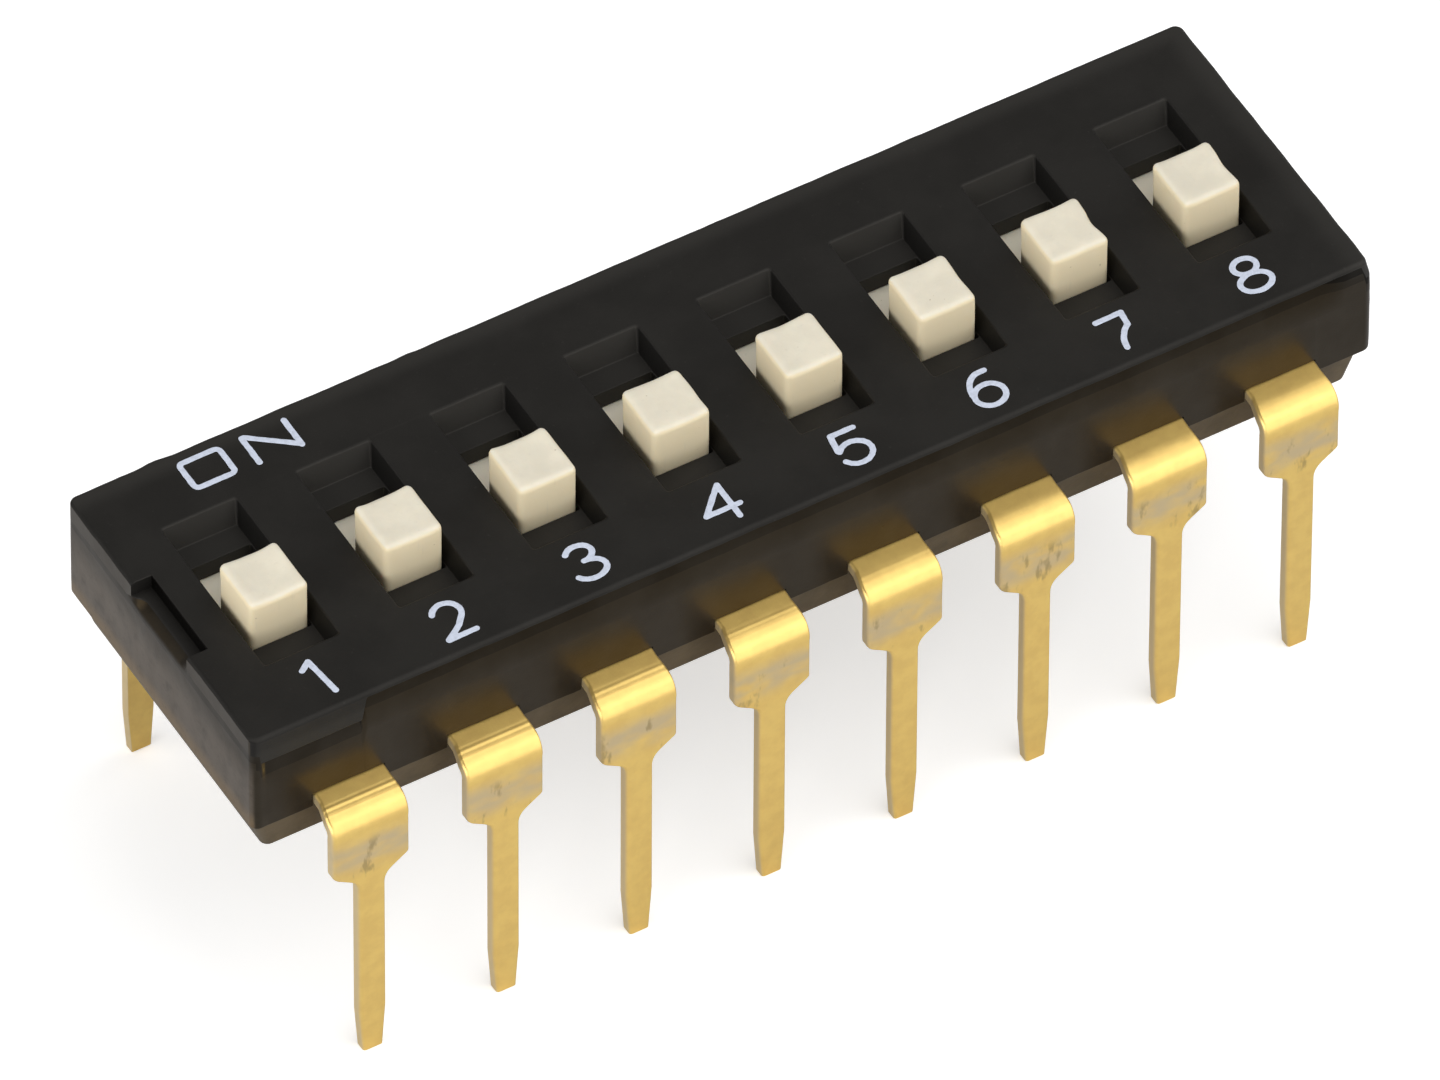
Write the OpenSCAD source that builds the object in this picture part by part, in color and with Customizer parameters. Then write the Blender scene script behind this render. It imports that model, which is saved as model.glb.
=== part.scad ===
// Slide DIP switch for through-hole boards: a row of small slide switches in one low housing.
// Millimetres. X runs along the row, Y from the OFF side to the ON side, Z up.
// The origin is the middle of the pin pattern, on the board's surface.

/* [Switch row] */
// Number of switches in the row
positions = 8; // [2:1:12]
// Distance from one switch to the next
pitch = 2.54; // [2.5:0.01:2.8]
// Distance between the two rows of pins, measured between their middles
row_spacing = 7.62; // [7.4:0.02:8.4]

/* [Cover] */
// Distance from an end pin's middle to the end of the cover
end_margin = 1.73; // [1.7:0.01:2.2]
// Width of the cover over its long walls
cover_w = 6.2; // [6:0.05:6.4]
// Height of the cover from its rim to its top face
cover_h = 2.2; // [2.1:0.05:2.6]
// Thickness of the roof that the windows go through
roof_t = 0.76; // [0.66:0.02:0.86]
// Thickness of the long walls
wall_t = 0.5; // [0.42:0.02:0.56]
// Thickness of the end walls
end_wall_t = 0.55; // [0.4:0.05:0.6]
// Thickness of the ribs that part one switch from the next
rib_t = 0.36; // [0.3:0.02:0.44]
// Rounding of the top edges
edge_r = 0.12; // [0.06:0.02:0.2]
// Rounding of the upright corners
corner_r = 0.2; // [0.1:0.05:0.35]
// How far each end wall leans in on the way down to the rim
end_draft = 0.05; // [0.02:0.01:0.08]
// How far the long walls are set back below the lip of the roof
relief_depth = 0.05; // [0.03:0.01:0.08]
// Height of the lip along most of the long walls
lip_h = 0.28; // [0.22:0.02:0.4]
// Height of the lip beside the first switch
first_lip_h = 0.6; // [0.5:0.02:0.7]
// Length of the higher lip beside the first switch
first_lip_l = 1.9; // [1.6:0.1:2.4]
// Length of the flush wall that the lip runs into at the last switch
flush_end_l = 0.65; // [0.5:0.05:0.9]
// Length of the index notch in the first switch's end
index_l = 1.85; // [1.4:0.05:2.2]
// Depth of the index notch into the end wall
index_in = 0.39; // [0.3:0.01:0.45]
// Height of the index notch
index_h = 0.29; // [0.22:0.01:0.36]

/* [Windows] */
// Depth of the sunk well round each knob
well_depth = 0.4; // [0.3:0.02:0.46]
// Room between a knob and the side of its window, at the top face
window_gap = 0.16; // [0.15:0.01:0.22]
// How far each side of a well slopes in on the way down
well_side_slope = 0.11; // [0.08:0.01:0.12]
// Room between a knob at its stop and the end of its window, at the top face
window_end_gap = 0.725; // [0.6:0.025:0.8]
// How far each end of a well slopes in on the way down
well_end_slope = 0.23; // [0.1:0.01:0.3]

/* [Sliders] */
// Width of a knob along the row
knob_w = 1.1; // [1:0.02:1.2]
// Length of a knob along its travel
knob_l = 1.1; // [1:0.02:1.2]
// Height of a knob above the cover's top face
knob_rise = 0.6; // [0.4:0.05:0.9]
// Rounding of a knob's edges
knob_r = 0.1; // [0.05:0.01:0.16]
// Depth of the hollow along a knob's top
dish_depth = 0.05; // [0.03:0.01:0.08]
// Travel of a slider from OFF to ON
travel = 0.9; // [0.8:0.02:1]
// Thickness of the carriage under a knob
carriage_t = 0.4; // [0.3:0.02:0.44]
// How far a carriage still laps under the roof at each end of its slot
carriage_lap = 0.05; // [0.04:0.01:0.12]

/* [Base] */
// Height of the base from its underside to the cover's rim
base_h = 0.77; // [0.6:0.01:0.9]
// Height of the underside above the board
standoff = 0.35; // [0.2:0.05:0.6]
// How far the base is set in under the cover's rim
base_set_in = 0.1; // [0.07:0.01:0.14]
// How far the long sides of the base slope in on the way down
base_side_slope = 0.2; // [0.1:0.02:0.3]
// How far the ends of the base slope in on the way down
base_end_slope = 0.3; // [0.1:0.02:0.4]
// Width of the snap lugs at the ends of the base
lug_w = 1.4; // [1:0.1:2]
// How far a snap lug stands out
lug_out = 0.12; // [0.08:0.01:0.16]
// Height of a snap lug
lug_h = 0.12; // [0.08:0.01:0.14]

/* [Terminals] */
// Thickness of the strip that the terminals are stamped from
strip_t = 0.25; // [0.2:0.01:0.3]
// Width of a terminal where it leaves the housing
lead_w = 1.44; // [1.3:0.02:1.6]
// Width of a terminal's contact pad inside the housing
pad_w = 1.2; // [1.1:0.02:1.28]
// Inner radius of the bend
bend_r = 0.15; // [0.1:0.01:0.2]
// Width of a pin
pin_w = 0.46; // [0.4:0.02:0.6]
// Length of a pin below the board's surface
pin_l = 4.5; // [3:0.1:5]
// Width of a pin at its tip
tip_w = 0.34; // [0.26:0.02:0.38]
// Length of the taper at a pin's tip
tip_l = 0.97; // [0.6:0.01:1.2]
// How far the shoulders slope down from their corners to the pin
shoulder_drop = 0.2; // [0.1:0.02:0.3]
// Size of the cut at a shoulder's corner
shoulder_cut = 0.09; // [0.04:0.01:0.14]

/* [Contacts] */
// Thickness of a contact spring
contact_t = 0.08; // [0.06:0.01:0.1]
// Width of a contact spring
contact_w = 1; // [0.9:0.02:1.06]
// Width of the slit that parts a spring's two fingers
finger_slit = 0.2; // [0.14:0.02:0.3]
// Length of the flat middle of a contact spring
flat_l = 0.7; // [0.6:0.02:0.8]
// Distance from a contact spring's middle to its tips
contact_reach = 0.8; // [0.76:0.02:0.9]
// Radius of a contact spring's tips
contact_tip_r = 0.08; // [0.06:0.01:0.1]
// Radius of the stake that holds a contact spring
stake_r = 0.18; // [0.14:0.01:0.22]
// Height of the stake's head below a contact spring
stake_head = 0.06; // [0.04:0.01:0.1]
// Length of pad past a tip that rests on it
pad_landing = 0.2; // [0.15:0.01:0.24]
// Distance from a tip to the pad that it has left
break_gap = 0.25; // [0.2:0.01:0.3]

/* [Clearances] */
// Between a knob and the sides of its slot
knob_gap = 0.03; // [0.02:0.01:0.04]
// Between a knob at its stop and the end of its slot
stop_gap = 0.02; // [0.01:0.01:0.04]
// Between a carriage and the ribs that guide it
guide_gap = 0.04; // [0.03:0.01:0.06]
// Between a carriage and the roof above it
roof_gap = 0.03; // [0.02:0.01:0.05]
// Between the base's block and the inside of the cover
block_gap = 0.03; // [0.02:0.01:0.05]
// Between a terminal and its notch in the cover's wall
notch_gap = 0.05; // [0.03:0.01:0.08]
// Between a contact spring's tips and the pads
touch_gap = 0.02; // [0.01:0.01:0.04]
// Between a stake and its hole
stake_gap = 0.02; // [0.01:0.01:0.03]

/* [Hidden] */
$fn = 48;
over = 0.1;

black = "#26241f";
cream = "#e6dfc8";
gold = "#d9b25a";

// Heights above the board
rim_z = standoff + base_h;
pad_z = rim_z + strip_t;
top_z = rim_z + cover_h;
roof_z = top_z - roof_t;
carriage_top_z = roof_z - roof_gap;
carriage_z = carriage_top_z - carriage_t;
knob_z = top_z + knob_rise;

// Plan sizes
cover_l = (positions - 1) * pitch + 2 * end_margin;
cavity_l = cover_l - 2 * end_wall_t;
cavity_w = cover_w - 2 * wall_t;
block_l = cavity_l - 2 * block_gap;
block_w = cavity_w - 2 * block_gap;
base_l = cover_l - 2 * end_draft - 2 * base_set_in;
base_w = cover_w - 2 * base_set_in;
guide_w = pitch - rib_t;
carriage_w = guide_w - 2 * guide_gap;
slot_w = knob_w + 2 * knob_gap;
slot_l = knob_l + travel + 2 * stop_gap;
carriage_l = slot_l + travel + 2 * carriage_lap;
window_w = knob_w + 2 * window_gap;
window_l = knob_l + travel + 2 * window_end_gap;
bend_y = row_spacing / 2 + strip_t / 2 - strip_t - bend_r;
front_pad_y = contact_reach - travel / 2 - pad_landing;
rear_pad_y = contact_reach - travel / 2 + break_gap;

// Place of one switch along the row
function switch_x(i) = (i - (positions + 1) / 2) * pitch;

// Upright bar of a flat outline drawn in X and Z, as thick as given in Y, and centred there
module across_y(thickness) {
    rotate([90, 0, 0])
        linear_extrude(thickness, center = true)
            children();
}

// The same for an outline drawn in Y and Z, centred in X
module across_x(thickness) {
    rotate([90, 0, 90])
        linear_extrude(thickness, center = true)
            children();
}

// Rectangle with four round corners, centred
module round_rectangle(l, w, r) {
    square([l - 2 * r, w], center = true);
    square([l, w - 2 * r], center = true);
    for (x = [-1, 1], y = [-1, 1])
        translate([x * (l / 2 - r), y * (w / 2 - r)])
            circle(r);
}

// Wall outline, round at the top corners, that goes from a foot width to a top width
module round_top_profile(foot, top, h, r) {
    polygon([[-foot / 2, 0], [foot / 2, 0], [top / 2, h - r], [-top / 2, h - r]]);
    translate([-top / 2 + r, h - r - over / 4])
        square([top - 2 * r, r + over / 4]);
    for (x = [-1, 1])
        translate([x * (top / 2 - r), h - r])
            circle(r);
}

// Block with sloped sides, from a lower to an upper rectangle
module sloped_block(low, high, h) {
    intersection() {
        across_y(max(low[1], high[1]) + over)
            polygon([[-low[0] / 2, 0], [low[0] / 2, 0], [high[0] / 2, h], [-high[0] / 2, h]]);
        across_x(max(low[0], high[0]) + over)
            polygon([[-low[1] / 2, 0], [low[1] / 2, 0], [high[1] / 2, h], [-high[1] / 2, h]]);
    }
}

// Block with round upright edges and round top edges
module soft_block(l, w, h, r, upright_r) {
    intersection() {
        linear_extrude(h)
            round_rectangle(l, w, upright_r);
        across_y(w + over)
            round_top_profile(l, l, h, r);
        across_x(l + over)
            round_top_profile(w, w, h, r);
    }
}

// Centred box that starts at the height z
module bar(l, w, z, h) {
    translate([-l / 2, -w / 2, z])
        cube([l, w, h]);
}

module cover_shell() {
    intersection() {
        linear_extrude(cover_h)
            round_rectangle(cover_l, cover_w, corner_r);
        across_y(cover_w + over)
            round_top_profile(cover_l - 2 * end_draft, cover_l, cover_h, edge_r);
        across_x(cover_l + over)
            round_top_profile(cover_w, cover_w, cover_h, edge_r);
    }
}

// Sunk well and slot of one knob, measured from the cover's rim
module window() {
    translate([0, 0, cover_h - well_depth])
        sloped_block(
            [window_w - 2 * well_side_slope, window_l - 2 * well_end_slope],
            [window_w, window_l],
            well_depth
        );
    bar(window_w, window_l, cover_h, over);
    bar(slot_w, slot_l, cover_h - roof_t - over, roof_t - well_depth + 2 * over);
}

// Shallow set-back under the lip of one long wall
module wall_relief() {
    low_l = cover_l - corner_r - flush_end_l;
    high_l = low_l - first_lip_l;
    translate([-cover_l / 2 + corner_r, cover_w / 2 - relief_depth, -over])
        cube([low_l, relief_depth + over, cover_h - first_lip_h + over]);
    translate([-cover_l / 2 + corner_r + first_lip_l, cover_w / 2 - relief_depth, -over])
        cube([high_l, relief_depth + over, cover_h - lip_h + over]);
}

// Notch in both long walls for the two terminals of one switch
module lead_notches() {
    for (side = [-1, 1])
        translate([-lead_w / 2 - notch_gap, side * (cover_w + block_w) / 4 - wall_t, -over])
            cube([lead_w + 2 * notch_gap, 2 * wall_t, strip_t + notch_gap + over]);
}

module cover() {
    color(black)
        translate([0, 0, rim_z])
            difference() {
                cover_shell();
                bar(cavity_l, cavity_w, -over, strip_t + block_gap + over);
                for (i = [1 : positions])
                    translate([switch_x(i), 0, 0]) {
                        bar(guide_w, cavity_w, -over, cover_h - roof_t + over);
                        window();
                        lead_notches();
                    }
                for (side = [0, 1])
                    mirror([0, side, 0])
                        wall_relief();
                for (side = [-1, 1])
                    translate([side * cavity_l / 2, 0, 0])
                        bar(
                            2 * (lug_out + block_gap),
                            lug_w + 2 * block_gap,
                            strip_t - lug_h - block_gap,
                            lug_h + 2 * block_gap
                        );
                translate([-cover_l / 2 - over, -index_l / 2, cover_h - index_h])
                    cube([index_in + over, index_l, index_h + over]);
            }
}

// Flat outline of a terminal inside the housing: its pad and the wider lead
module lead_outline(pad_end) {
    translate([-pad_w / 2, pad_end])
        square([pad_w, block_w / 2 - pad_end]);
    translate([-lead_w / 2, block_w / 2])
        square([lead_w, bend_y - block_w / 2]);
}

// Outline of a terminal below its bend: shoulders, pin and tapered tip
module pin_outline(h) {
    half = lead_w / 2;
    polygon([
        [-half, h], [half, h],
        [half, shoulder_cut], [half - shoulder_cut, 0],
        [pin_w / 2, -shoulder_drop], [pin_w / 2, tip_l - pin_l],
        [tip_w / 2, -pin_l], [-tip_w / 2, -pin_l],
        [-pin_w / 2, tip_l - pin_l], [-pin_w / 2, -shoulder_drop],
        [shoulder_cut - half, 0], [-half, shoulder_cut]
    ]);
}

// One stamped and bent terminal on the +Y side
module terminal(pad_end) {
    translate([0, 0, rim_z])
        linear_extrude(strip_t)
            lead_outline(pad_end);
    translate([-lead_w / 2, bend_y, rim_z - bend_r])
        rotate([90, 0, 90])
            rotate_extrude(angle = 90)
                translate([bend_r, 0])
                    square([strip_t, lead_w]);
    translate([0, row_spacing / 2, 0])
        across_y(strip_t)
            pin_outline(rim_z - bend_r);
}

module front_terminal(i) {
    color(gold)
        translate([switch_x(i), 0, 0])
            mirror([0, 1, 0])
                terminal(front_pad_y);
}

module rear_terminal(i) {
    color(gold)
        translate([switch_x(i), 0, 0])
            terminal(rear_pad_y);
}

// Room that one terminal's pad takes in the base's block
module pad_pocket(pad_end) {
    translate([-pad_w / 2, pad_end, rim_z])
        cube([pad_w, block_w / 2 - pad_end + over, strip_t + over]);
}

module base() {
    color(black)
        difference() {
            union() {
                translate([0, 0, standoff])
                    sloped_block(
                        [base_l - 2 * base_end_slope, base_w - 2 * base_side_slope],
                        [base_l, base_w],
                        base_h
                    );
                bar(block_l, block_w, rim_z - over, strip_t + over);
                bar(block_l + 2 * lug_out, lug_w, pad_z - lug_h, lug_h);
            }
            for (i = [1 : positions])
                translate([switch_x(i), 0, 0]) {
                    pad_pocket(rear_pad_y);
                    mirror([0, 1, 0])
                        pad_pocket(front_pad_y);
                }
        }
}

// Shallow hollow along a knob's top, as deep as given at its middle
module dish(depth) {
    half = knob_w / 2 - knob_r;
    radius = (half * half + depth * depth) / (2 * depth);
    translate([0, 0, radius - depth])
        rotate([90, 0, 0])
            cylinder(r = radius, h = knob_l + over, center = true, $fn = 96);
}

// The slider is drawn at the middle of its travel and moved to OFF, its place at rest
module slider(i) {
    color(cream)
        translate([switch_x(i), -travel / 2, 0]) {
            difference() {
                translate([0, 0, carriage_z])
                    soft_block(knob_w, knob_l, knob_z - carriage_z, knob_r, knob_r);
                translate([0, 0, knob_z])
                    dish(dish_depth);
            }
            bar(carriage_w, carriage_l, carriage_z, carriage_t);
            translate([0, 0, carriage_z - contact_t - stake_head])
                cylinder(r = stake_r, h = contact_t + stake_head + over);
        }
}

// Side outline of a contact spring, drawn in Y and Z
module contact_profile() {
    low_z = carriage_z - contact_t;
    tip_z = pad_z + touch_gap + contact_tip_r;
    root_y = flat_l / 2 - contact_t;
    translate([-flat_l / 2, low_z])
        square([flat_l, contact_t]);
    for (side = [0, 1])
        mirror([side, 0]) {
            polygon([
                [root_y, low_z], [flat_l / 2, low_z],
                [contact_reach, tip_z - contact_t / 2], [contact_reach, tip_z + contact_t / 2],
                [flat_l / 2, low_z + contact_t], [root_y, low_z + contact_t]
            ]);
            translate([contact_reach, tip_z])
                circle(contact_tip_r);
        }
}

module contact(i) {
    finger_l = contact_reach + contact_tip_r - flat_l / 2 + over;
    color(gold)
        translate([switch_x(i), -travel / 2, 0])
            difference() {
                across_x(contact_w)
                    contact_profile();
                for (side = [-1, 1])
                    translate([0, side * (flat_l + finger_l) / 2, 0])
                        bar(finger_slit, finger_l, pad_z, carriage_z - pad_z + over);
                translate([0, 0, carriage_z - contact_t - over])
                    cylinder(r = stake_r + stake_gap, h = contact_t + 2 * over);
            }
}

cover();
base();
for (i = [1 : positions]) {
    slider(i);
    contact(i);
    front_terminal(i);
    rear_terminal(i);
}
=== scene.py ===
import math
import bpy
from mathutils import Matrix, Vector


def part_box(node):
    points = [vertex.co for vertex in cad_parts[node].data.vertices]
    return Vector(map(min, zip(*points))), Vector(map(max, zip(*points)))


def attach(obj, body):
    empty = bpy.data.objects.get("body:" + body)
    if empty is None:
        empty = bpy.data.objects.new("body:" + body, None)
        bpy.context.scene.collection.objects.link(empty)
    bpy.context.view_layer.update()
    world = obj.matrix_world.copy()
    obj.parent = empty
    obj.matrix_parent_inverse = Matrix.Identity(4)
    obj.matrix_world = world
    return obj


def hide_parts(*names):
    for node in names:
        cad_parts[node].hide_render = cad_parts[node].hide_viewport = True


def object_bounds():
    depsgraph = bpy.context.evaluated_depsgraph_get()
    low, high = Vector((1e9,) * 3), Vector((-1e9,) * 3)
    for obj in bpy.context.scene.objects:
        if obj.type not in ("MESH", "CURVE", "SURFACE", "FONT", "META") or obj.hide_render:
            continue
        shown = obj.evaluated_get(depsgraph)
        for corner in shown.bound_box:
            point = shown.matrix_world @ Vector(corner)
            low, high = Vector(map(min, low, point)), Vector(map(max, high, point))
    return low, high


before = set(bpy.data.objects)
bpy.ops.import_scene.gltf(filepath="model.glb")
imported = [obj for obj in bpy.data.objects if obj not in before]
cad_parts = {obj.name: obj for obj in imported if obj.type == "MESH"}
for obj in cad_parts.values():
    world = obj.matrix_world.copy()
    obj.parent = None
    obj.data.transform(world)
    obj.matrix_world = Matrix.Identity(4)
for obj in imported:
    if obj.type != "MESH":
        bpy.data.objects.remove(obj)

from types import SimpleNamespace

import bmesh
import bpy
from mathutils import Matrix, Vector, noise
from mathutils.geometry import tessellate_polygon

bl_info = {
    "name": "DIP switch",
    "version": (1, 0, 0),
    "blender": (4, 5, 0),
    "location": "3D View > Sidebar > DIP switch",
    "description": "Dresses an eight-way slide DIP switch round its CAD frame",
    "category": "Add Mesh",
}

CAD_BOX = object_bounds()
MM = 1000
WELD = 1e-5
CREASE_ANGLE = math.radians(32)
SWITCHES = sum(name.startswith("slider_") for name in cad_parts)
# The hollow's and the cove's finishes are duller copies of the wall plastic, as painted shade.
TOP, WALL, HOLLOW, COVE = range(4)


def corners(node):
    """Lowest and highest corner of a CAD node, in millimetres."""
    low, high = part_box(node)
    return low * MM, high * MM


def switch_x(number):
    """Middle of one switch along the row, in millimetres."""
    low, high = corners(f"slider_{number}")
    return (low.x + high.x) / 2


def quarter_round(radius, steps):
    """(inset, drop) of each row round an edge, from the flat face over to the upright one."""
    angles = [math.radians(90 * step / steps) for step in range(steps + 1)]
    return [(radius * (1 - math.sin(angle)), radius * (1 - math.cos(angle))) for angle in angles]


# ---------------------------------------------------------------- settings


def length(name, millimetres, description):
    """A length property in metres, given in millimetres."""
    return bpy.props.FloatProperty(
        name=name,
        description=description,
        default=millimetres / MM,
        min=0,
        precision=5,
        unit="LENGTH",
    )


def colour(name, value, description):
    """A colour property."""
    return bpy.props.FloatVectorProperty(
        name=name,
        description=description,
        default=value,
        min=0,
        max=1,
        size=3,
        subtype="COLOR",
    )


def level(name, value, description, high=1):
    """A plain number property that starts at 0."""
    return bpy.props.FloatProperty(name=name, description=description, default=value, min=0, max=high)


class CoverSizes(bpy.types.PropertyGroup):
    """Sizes of the moulded cover."""

    edge_round: length("Edge rounding", 0.08, "Rounding of the top edges")
    corner_round: length("Corner rounding", 0.16, "Rounding of the upright corners")
    end_out: length("End out", 0.04, "How far the last switch's end stands out at its top")
    end_draft: length("End draft", 0.09, "How far the last switch's end wall leans out below its top")
    lip: length("Lip height", 0.09, "Height of the lip along most of the long walls")
    first_lip: length("First lip height", 0.6, "Height of the lip beside the first switch")
    first_lip_length: length("First lip length", 1.9, "Length of the higher lip beside the first switch")
    groove: length("Groove depth", 0.25, "Depth of the hollow under the lip")
    cove: length("Cove height", 0.8, "Height over which the hollow eases out to the wall")
    flush_end: length("Flush end", 0.65, "Length over which the lip fades into the wall")
    index_length: length("Index notch length", 1.85, "Length of the notch in the first switch's end")
    index_in: length("Index notch inset", 0.39, "Depth of the notch into the end wall")
    index_height: length("Index notch height", 0.29, "Height of the notch")
    soft_edge: length("Soft edge", 0.2, "Rounding of the notch's outer edge")
    wall: length("Wall", 0.5, "Thickness of the long walls")
    end_wall: length("End wall", 0.55, "Thickness of the end walls")
    roof: length("Roof", 0.76, "Thickness of the roof")
    well_depth: length("Well depth", 0.4, "Depth of the sunk well round each knob")
    well_width: length("Well width", 1.42, "Width of a well at the top face")
    well_length: length("Well length", 3.45, "Length of a well at the top face")
    well_side_slope: length("Well side slope", 0.11, "How far each side of a well slopes in")
    well_end_slope: length("Well end slope", 0.23, "How far each end of a well slopes in")
    slot_width: length("Slot width", 1.16, "Width of the slot that a knob runs in")
    slot_length: length("Slot length", 2.04, "Length of the slot that a knob runs in")
    small_round: length("Small rounding", 0.03, "Rounding of the wells' and slots' edges")
    ceiling: length("Ceiling height", 0.31, "Height of the ribs' undersides above the rim")
    lead_gap: length("Lead gap", 0.012, "Room beside each lead in its notch")
    unevenness: length("Unevenness", 0.011, "How far the moulded edges wander")


class SliderSizes(bpy.types.PropertyGroup):
    """Sizes of the sliders."""

    knob_width: length("Knob width", 1.1, "Width of a knob along the row")
    knob_length: length("Knob length", 1.1, "Length of a knob along its travel")
    knob_round: length("Knob rounding", 0.115, "Rounding of a knob's edges")
    dish: length("Dish depth", 0.05, "Depth of the hollow along a knob's top")
    crown: length("Crown", 0.02, "How far a knob's top stands above its nominal height")
    carriage_height: length("Carriage height", 0.4, "Height of the carriage under a knob")
    carriage_round: length("Carriage rounding", 0.035, "Rounding of a carriage's edges")
    stake_radius: length("Stake radius", 0.18, "Radius of the stake that holds the contact")
    waviness: length("Waviness", 0.012, "How far a knob's moulded faces wander")


class TerminalSizes(bpy.types.PropertyGroup):
    """Sizes of the stamped terminals."""

    strip: length("Strip", 0.22, "Thickness of the strip")
    pad_height: length("Pad height", 0.25, "Height of a pad's face above the cover's rim")
    lift: length("Lift", 0.055, "How far a lead steps up inside the wall")
    lead_width: length("Lead width", 1.5, "Width of a lead where it leaves the housing")
    left_trim: length("Left trim", 0.07, "How much narrower a lead is on its left")
    left_neck: length("Left neck", 0.09, "How much narrower again a lead's left is before the bend")
    bulge: length("Bulge", 0.03, "How far the bend squeezes the strip's sides out")
    pad_width: length("Pad width", 1.2, "Width of a lead's pad inside the housing")
    crown_radius: length("Crown radius", 1.4, "Outer radius where the bend begins")
    bend_radius: length("Bend radius", 0.34, "Outer radius of the rest of the bend")
    pin_width: length("Pin width", 0.5, "Width of a pin")
    pin_shift: length("Pin shift", 0.045, "How far a pin sits to the right of its lead's middle")
    tip_width: length("Tip width", 0.37, "Width of a pin at its tip")
    tip_length: length("Tip length", 0.97, "Length of the taper at a pin's tip")
    shoulder_top: length("Shoulder top", 0.07, "Height of a shoulder's corner above the board")
    shoulder_drop: length("Shoulder drop", 0.245, "How far a shoulder slopes down below the board")
    round_corner: length("Round corner", 0.2, "Radius of a shoulder's rounded corner")
    sharp_corner: length("Sharp corner", 0.07, "Radius of a shoulder's other corner")
    root_fillet: length("Root fillet", 0.4, "Radius between a shoulder and its pin")
    rolled_edge: length("Rolled edge", 0.045, "Rounding of the strip's die-rolled edges")
    burr_edge: length("Burr edge", 0.02, "Rounding of the strip's sheared edges")


class BaseSizes(bpy.types.PropertyGroup):
    """Sizes of the base."""

    height: length("Height", 0.77, "Height of the base below the cover's rim")
    set_in: length("Set in", 0.1, "How far the base is set in under the cover's rim")
    last_end: length("Last end", 0.08, "How much further out the base's end is beside the last switch")
    side_slope: length("Side slope", 0.10, "How far the long sides slope in")
    end_slope: length("End slope", 0.22, "How far the ends slope in")
    edge_round: length("Edge rounding", 0.06, "Rounding of the underside's edges")
    corner_round: length("Corner rounding", 0.15, "Rounding of the upright corners")
    block_gap: length("Block gap", 0.03, "Room between the block and the cover")
    block_height: length("Block height", 0.25, "Height of the block above the cover's rim")
    lug_width: length("Lug width", 1.4, "Width of the snap lugs")
    lug_height: length("Lug height", 0.12, "Height of the snap lugs")


class LegendSizes(bpy.types.PropertyGroup):
    """Sizes of the printed legend."""

    stroke: length("Stroke", 0.105, "Width of a printed stroke")
    ink: length("Ink height", 0.009, "How far the ink stands up")
    ragged: length("Ragged edge", 0.007, "How far the ink's edge wanders")
    digit_y: length("Digit row", 2.379, "Distance from the row's middle to the digits' middles")
    word_x: length("Word place", 0.61, "Distance of the O from the first switch's middle, along the row")
    letter_pitch: length("Letter pitch", 1.215, "Distance from the O to the N")
    word_y: length("Word row", 2.5, "Distance from the row's middle to the word's middle")


class Finishes(bpy.types.PropertyGroup):
    """Colours of the finishes and levels of the studio light."""

    cover: colour("Cover", (0.0085, 0.0080, 0.0072), "Black moulded plastic of the cover")
    # Grey of the first switch's end wall: partly rubbed plastic and partly painted light.
    rubbed: colour("Rubbed plastic", (0.079, 0.066, 0.055), "Rubbed grey end wall beside the first switch")
    rim: colour("Rim", (0.13, 0.088, 0.046), "Brownish rubbed plastic low on that end wall")
    # Partly the base's own colour and partly painted bounce light from the floor below.
    base: colour("Base", (0.066, 0.049, 0.027), "Black moulded plastic of the base")
    slider: colour("Slider", (0.755, 0.70, 0.57), "Cream plastic of the sliders")
    # Painted shade: this darker, warmer cream stands in for the shade on the sliders' sides.
    slider_side: colour("Slider sides", (0.75, 0.645, 0.44), "Warmer cream of the sliders' sides")
    slider_speck: colour("Slider specks", (0.36, 0.27, 0.16), "Brown specks in the sliders")
    gold: colour("Gold", (0.98, 0.68, 0.215), "Gold plating of the leads")
    rubbed_gold: colour("Rubbed gold", (0.70, 0.57, 0.37), "Rubbed band on the leads' shoulders")
    press_mark: colour("Press marks", (0.36, 0.26, 0.11), "Marks of the press on the leads' shoulders")
    cut_edge: colour("Cut edge", (0.80, 0.67, 0.44), "Sheared edges of the leads")
    ink: colour("Ink", (0.60, 0.65, 0.77), "Printed legend")
    floor: colour("Floor", (0.94, 0.94, 0.94), "Floor under the switch")
    mirrored_floor: level("Mirrored floor", 0.62, "How bright the floor is in reflections")
    white_floor: level("White floor", 0.36, "How much whiter the floor is to the camera")
    world: level("World light", 0.2, "Level of the light from all round", 2)
    front: level("Front light", 1.0, "Level of the lamp in front", 4)
    overhead: level("Overhead light", 1.0, "Level of the lamp overhead", 4)
    side: level("Side light", 1.0, "Level of the lamps at the sides", 4)


GROUPS = {
    "dip_cover": CoverSizes,
    "dip_slider": SliderSizes,
    "dip_terminal": TerminalSizes,
    "dip_base": BaseSizes,
    "dip_legend": LegendSizes,
    "dip_finish": Finishes,
}


def in_millimetres(group):
    """A property group's lengths as plain numbers in millimetres."""
    return SimpleNamespace(**{name: getattr(group, name) * MM for name in type(group).__annotations__})


# ---------------------------------------------------------------- mesh tools


def ring(bm, points):
    """New vertices at the points."""
    return [bm.verts.new(point) for point in points]


def bridge_all(bm, rings, closed=True, finish=0):
    """Quads between each ring of vertices and the next."""
    for first, second in zip(rings, rings[1:]):
        count = len(first)
        for i in range(count if closed else count - 1):
            j = (i + 1) % count
            bm.faces.new((first[i], first[j], second[j], second[i])).material_index = finish


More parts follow.
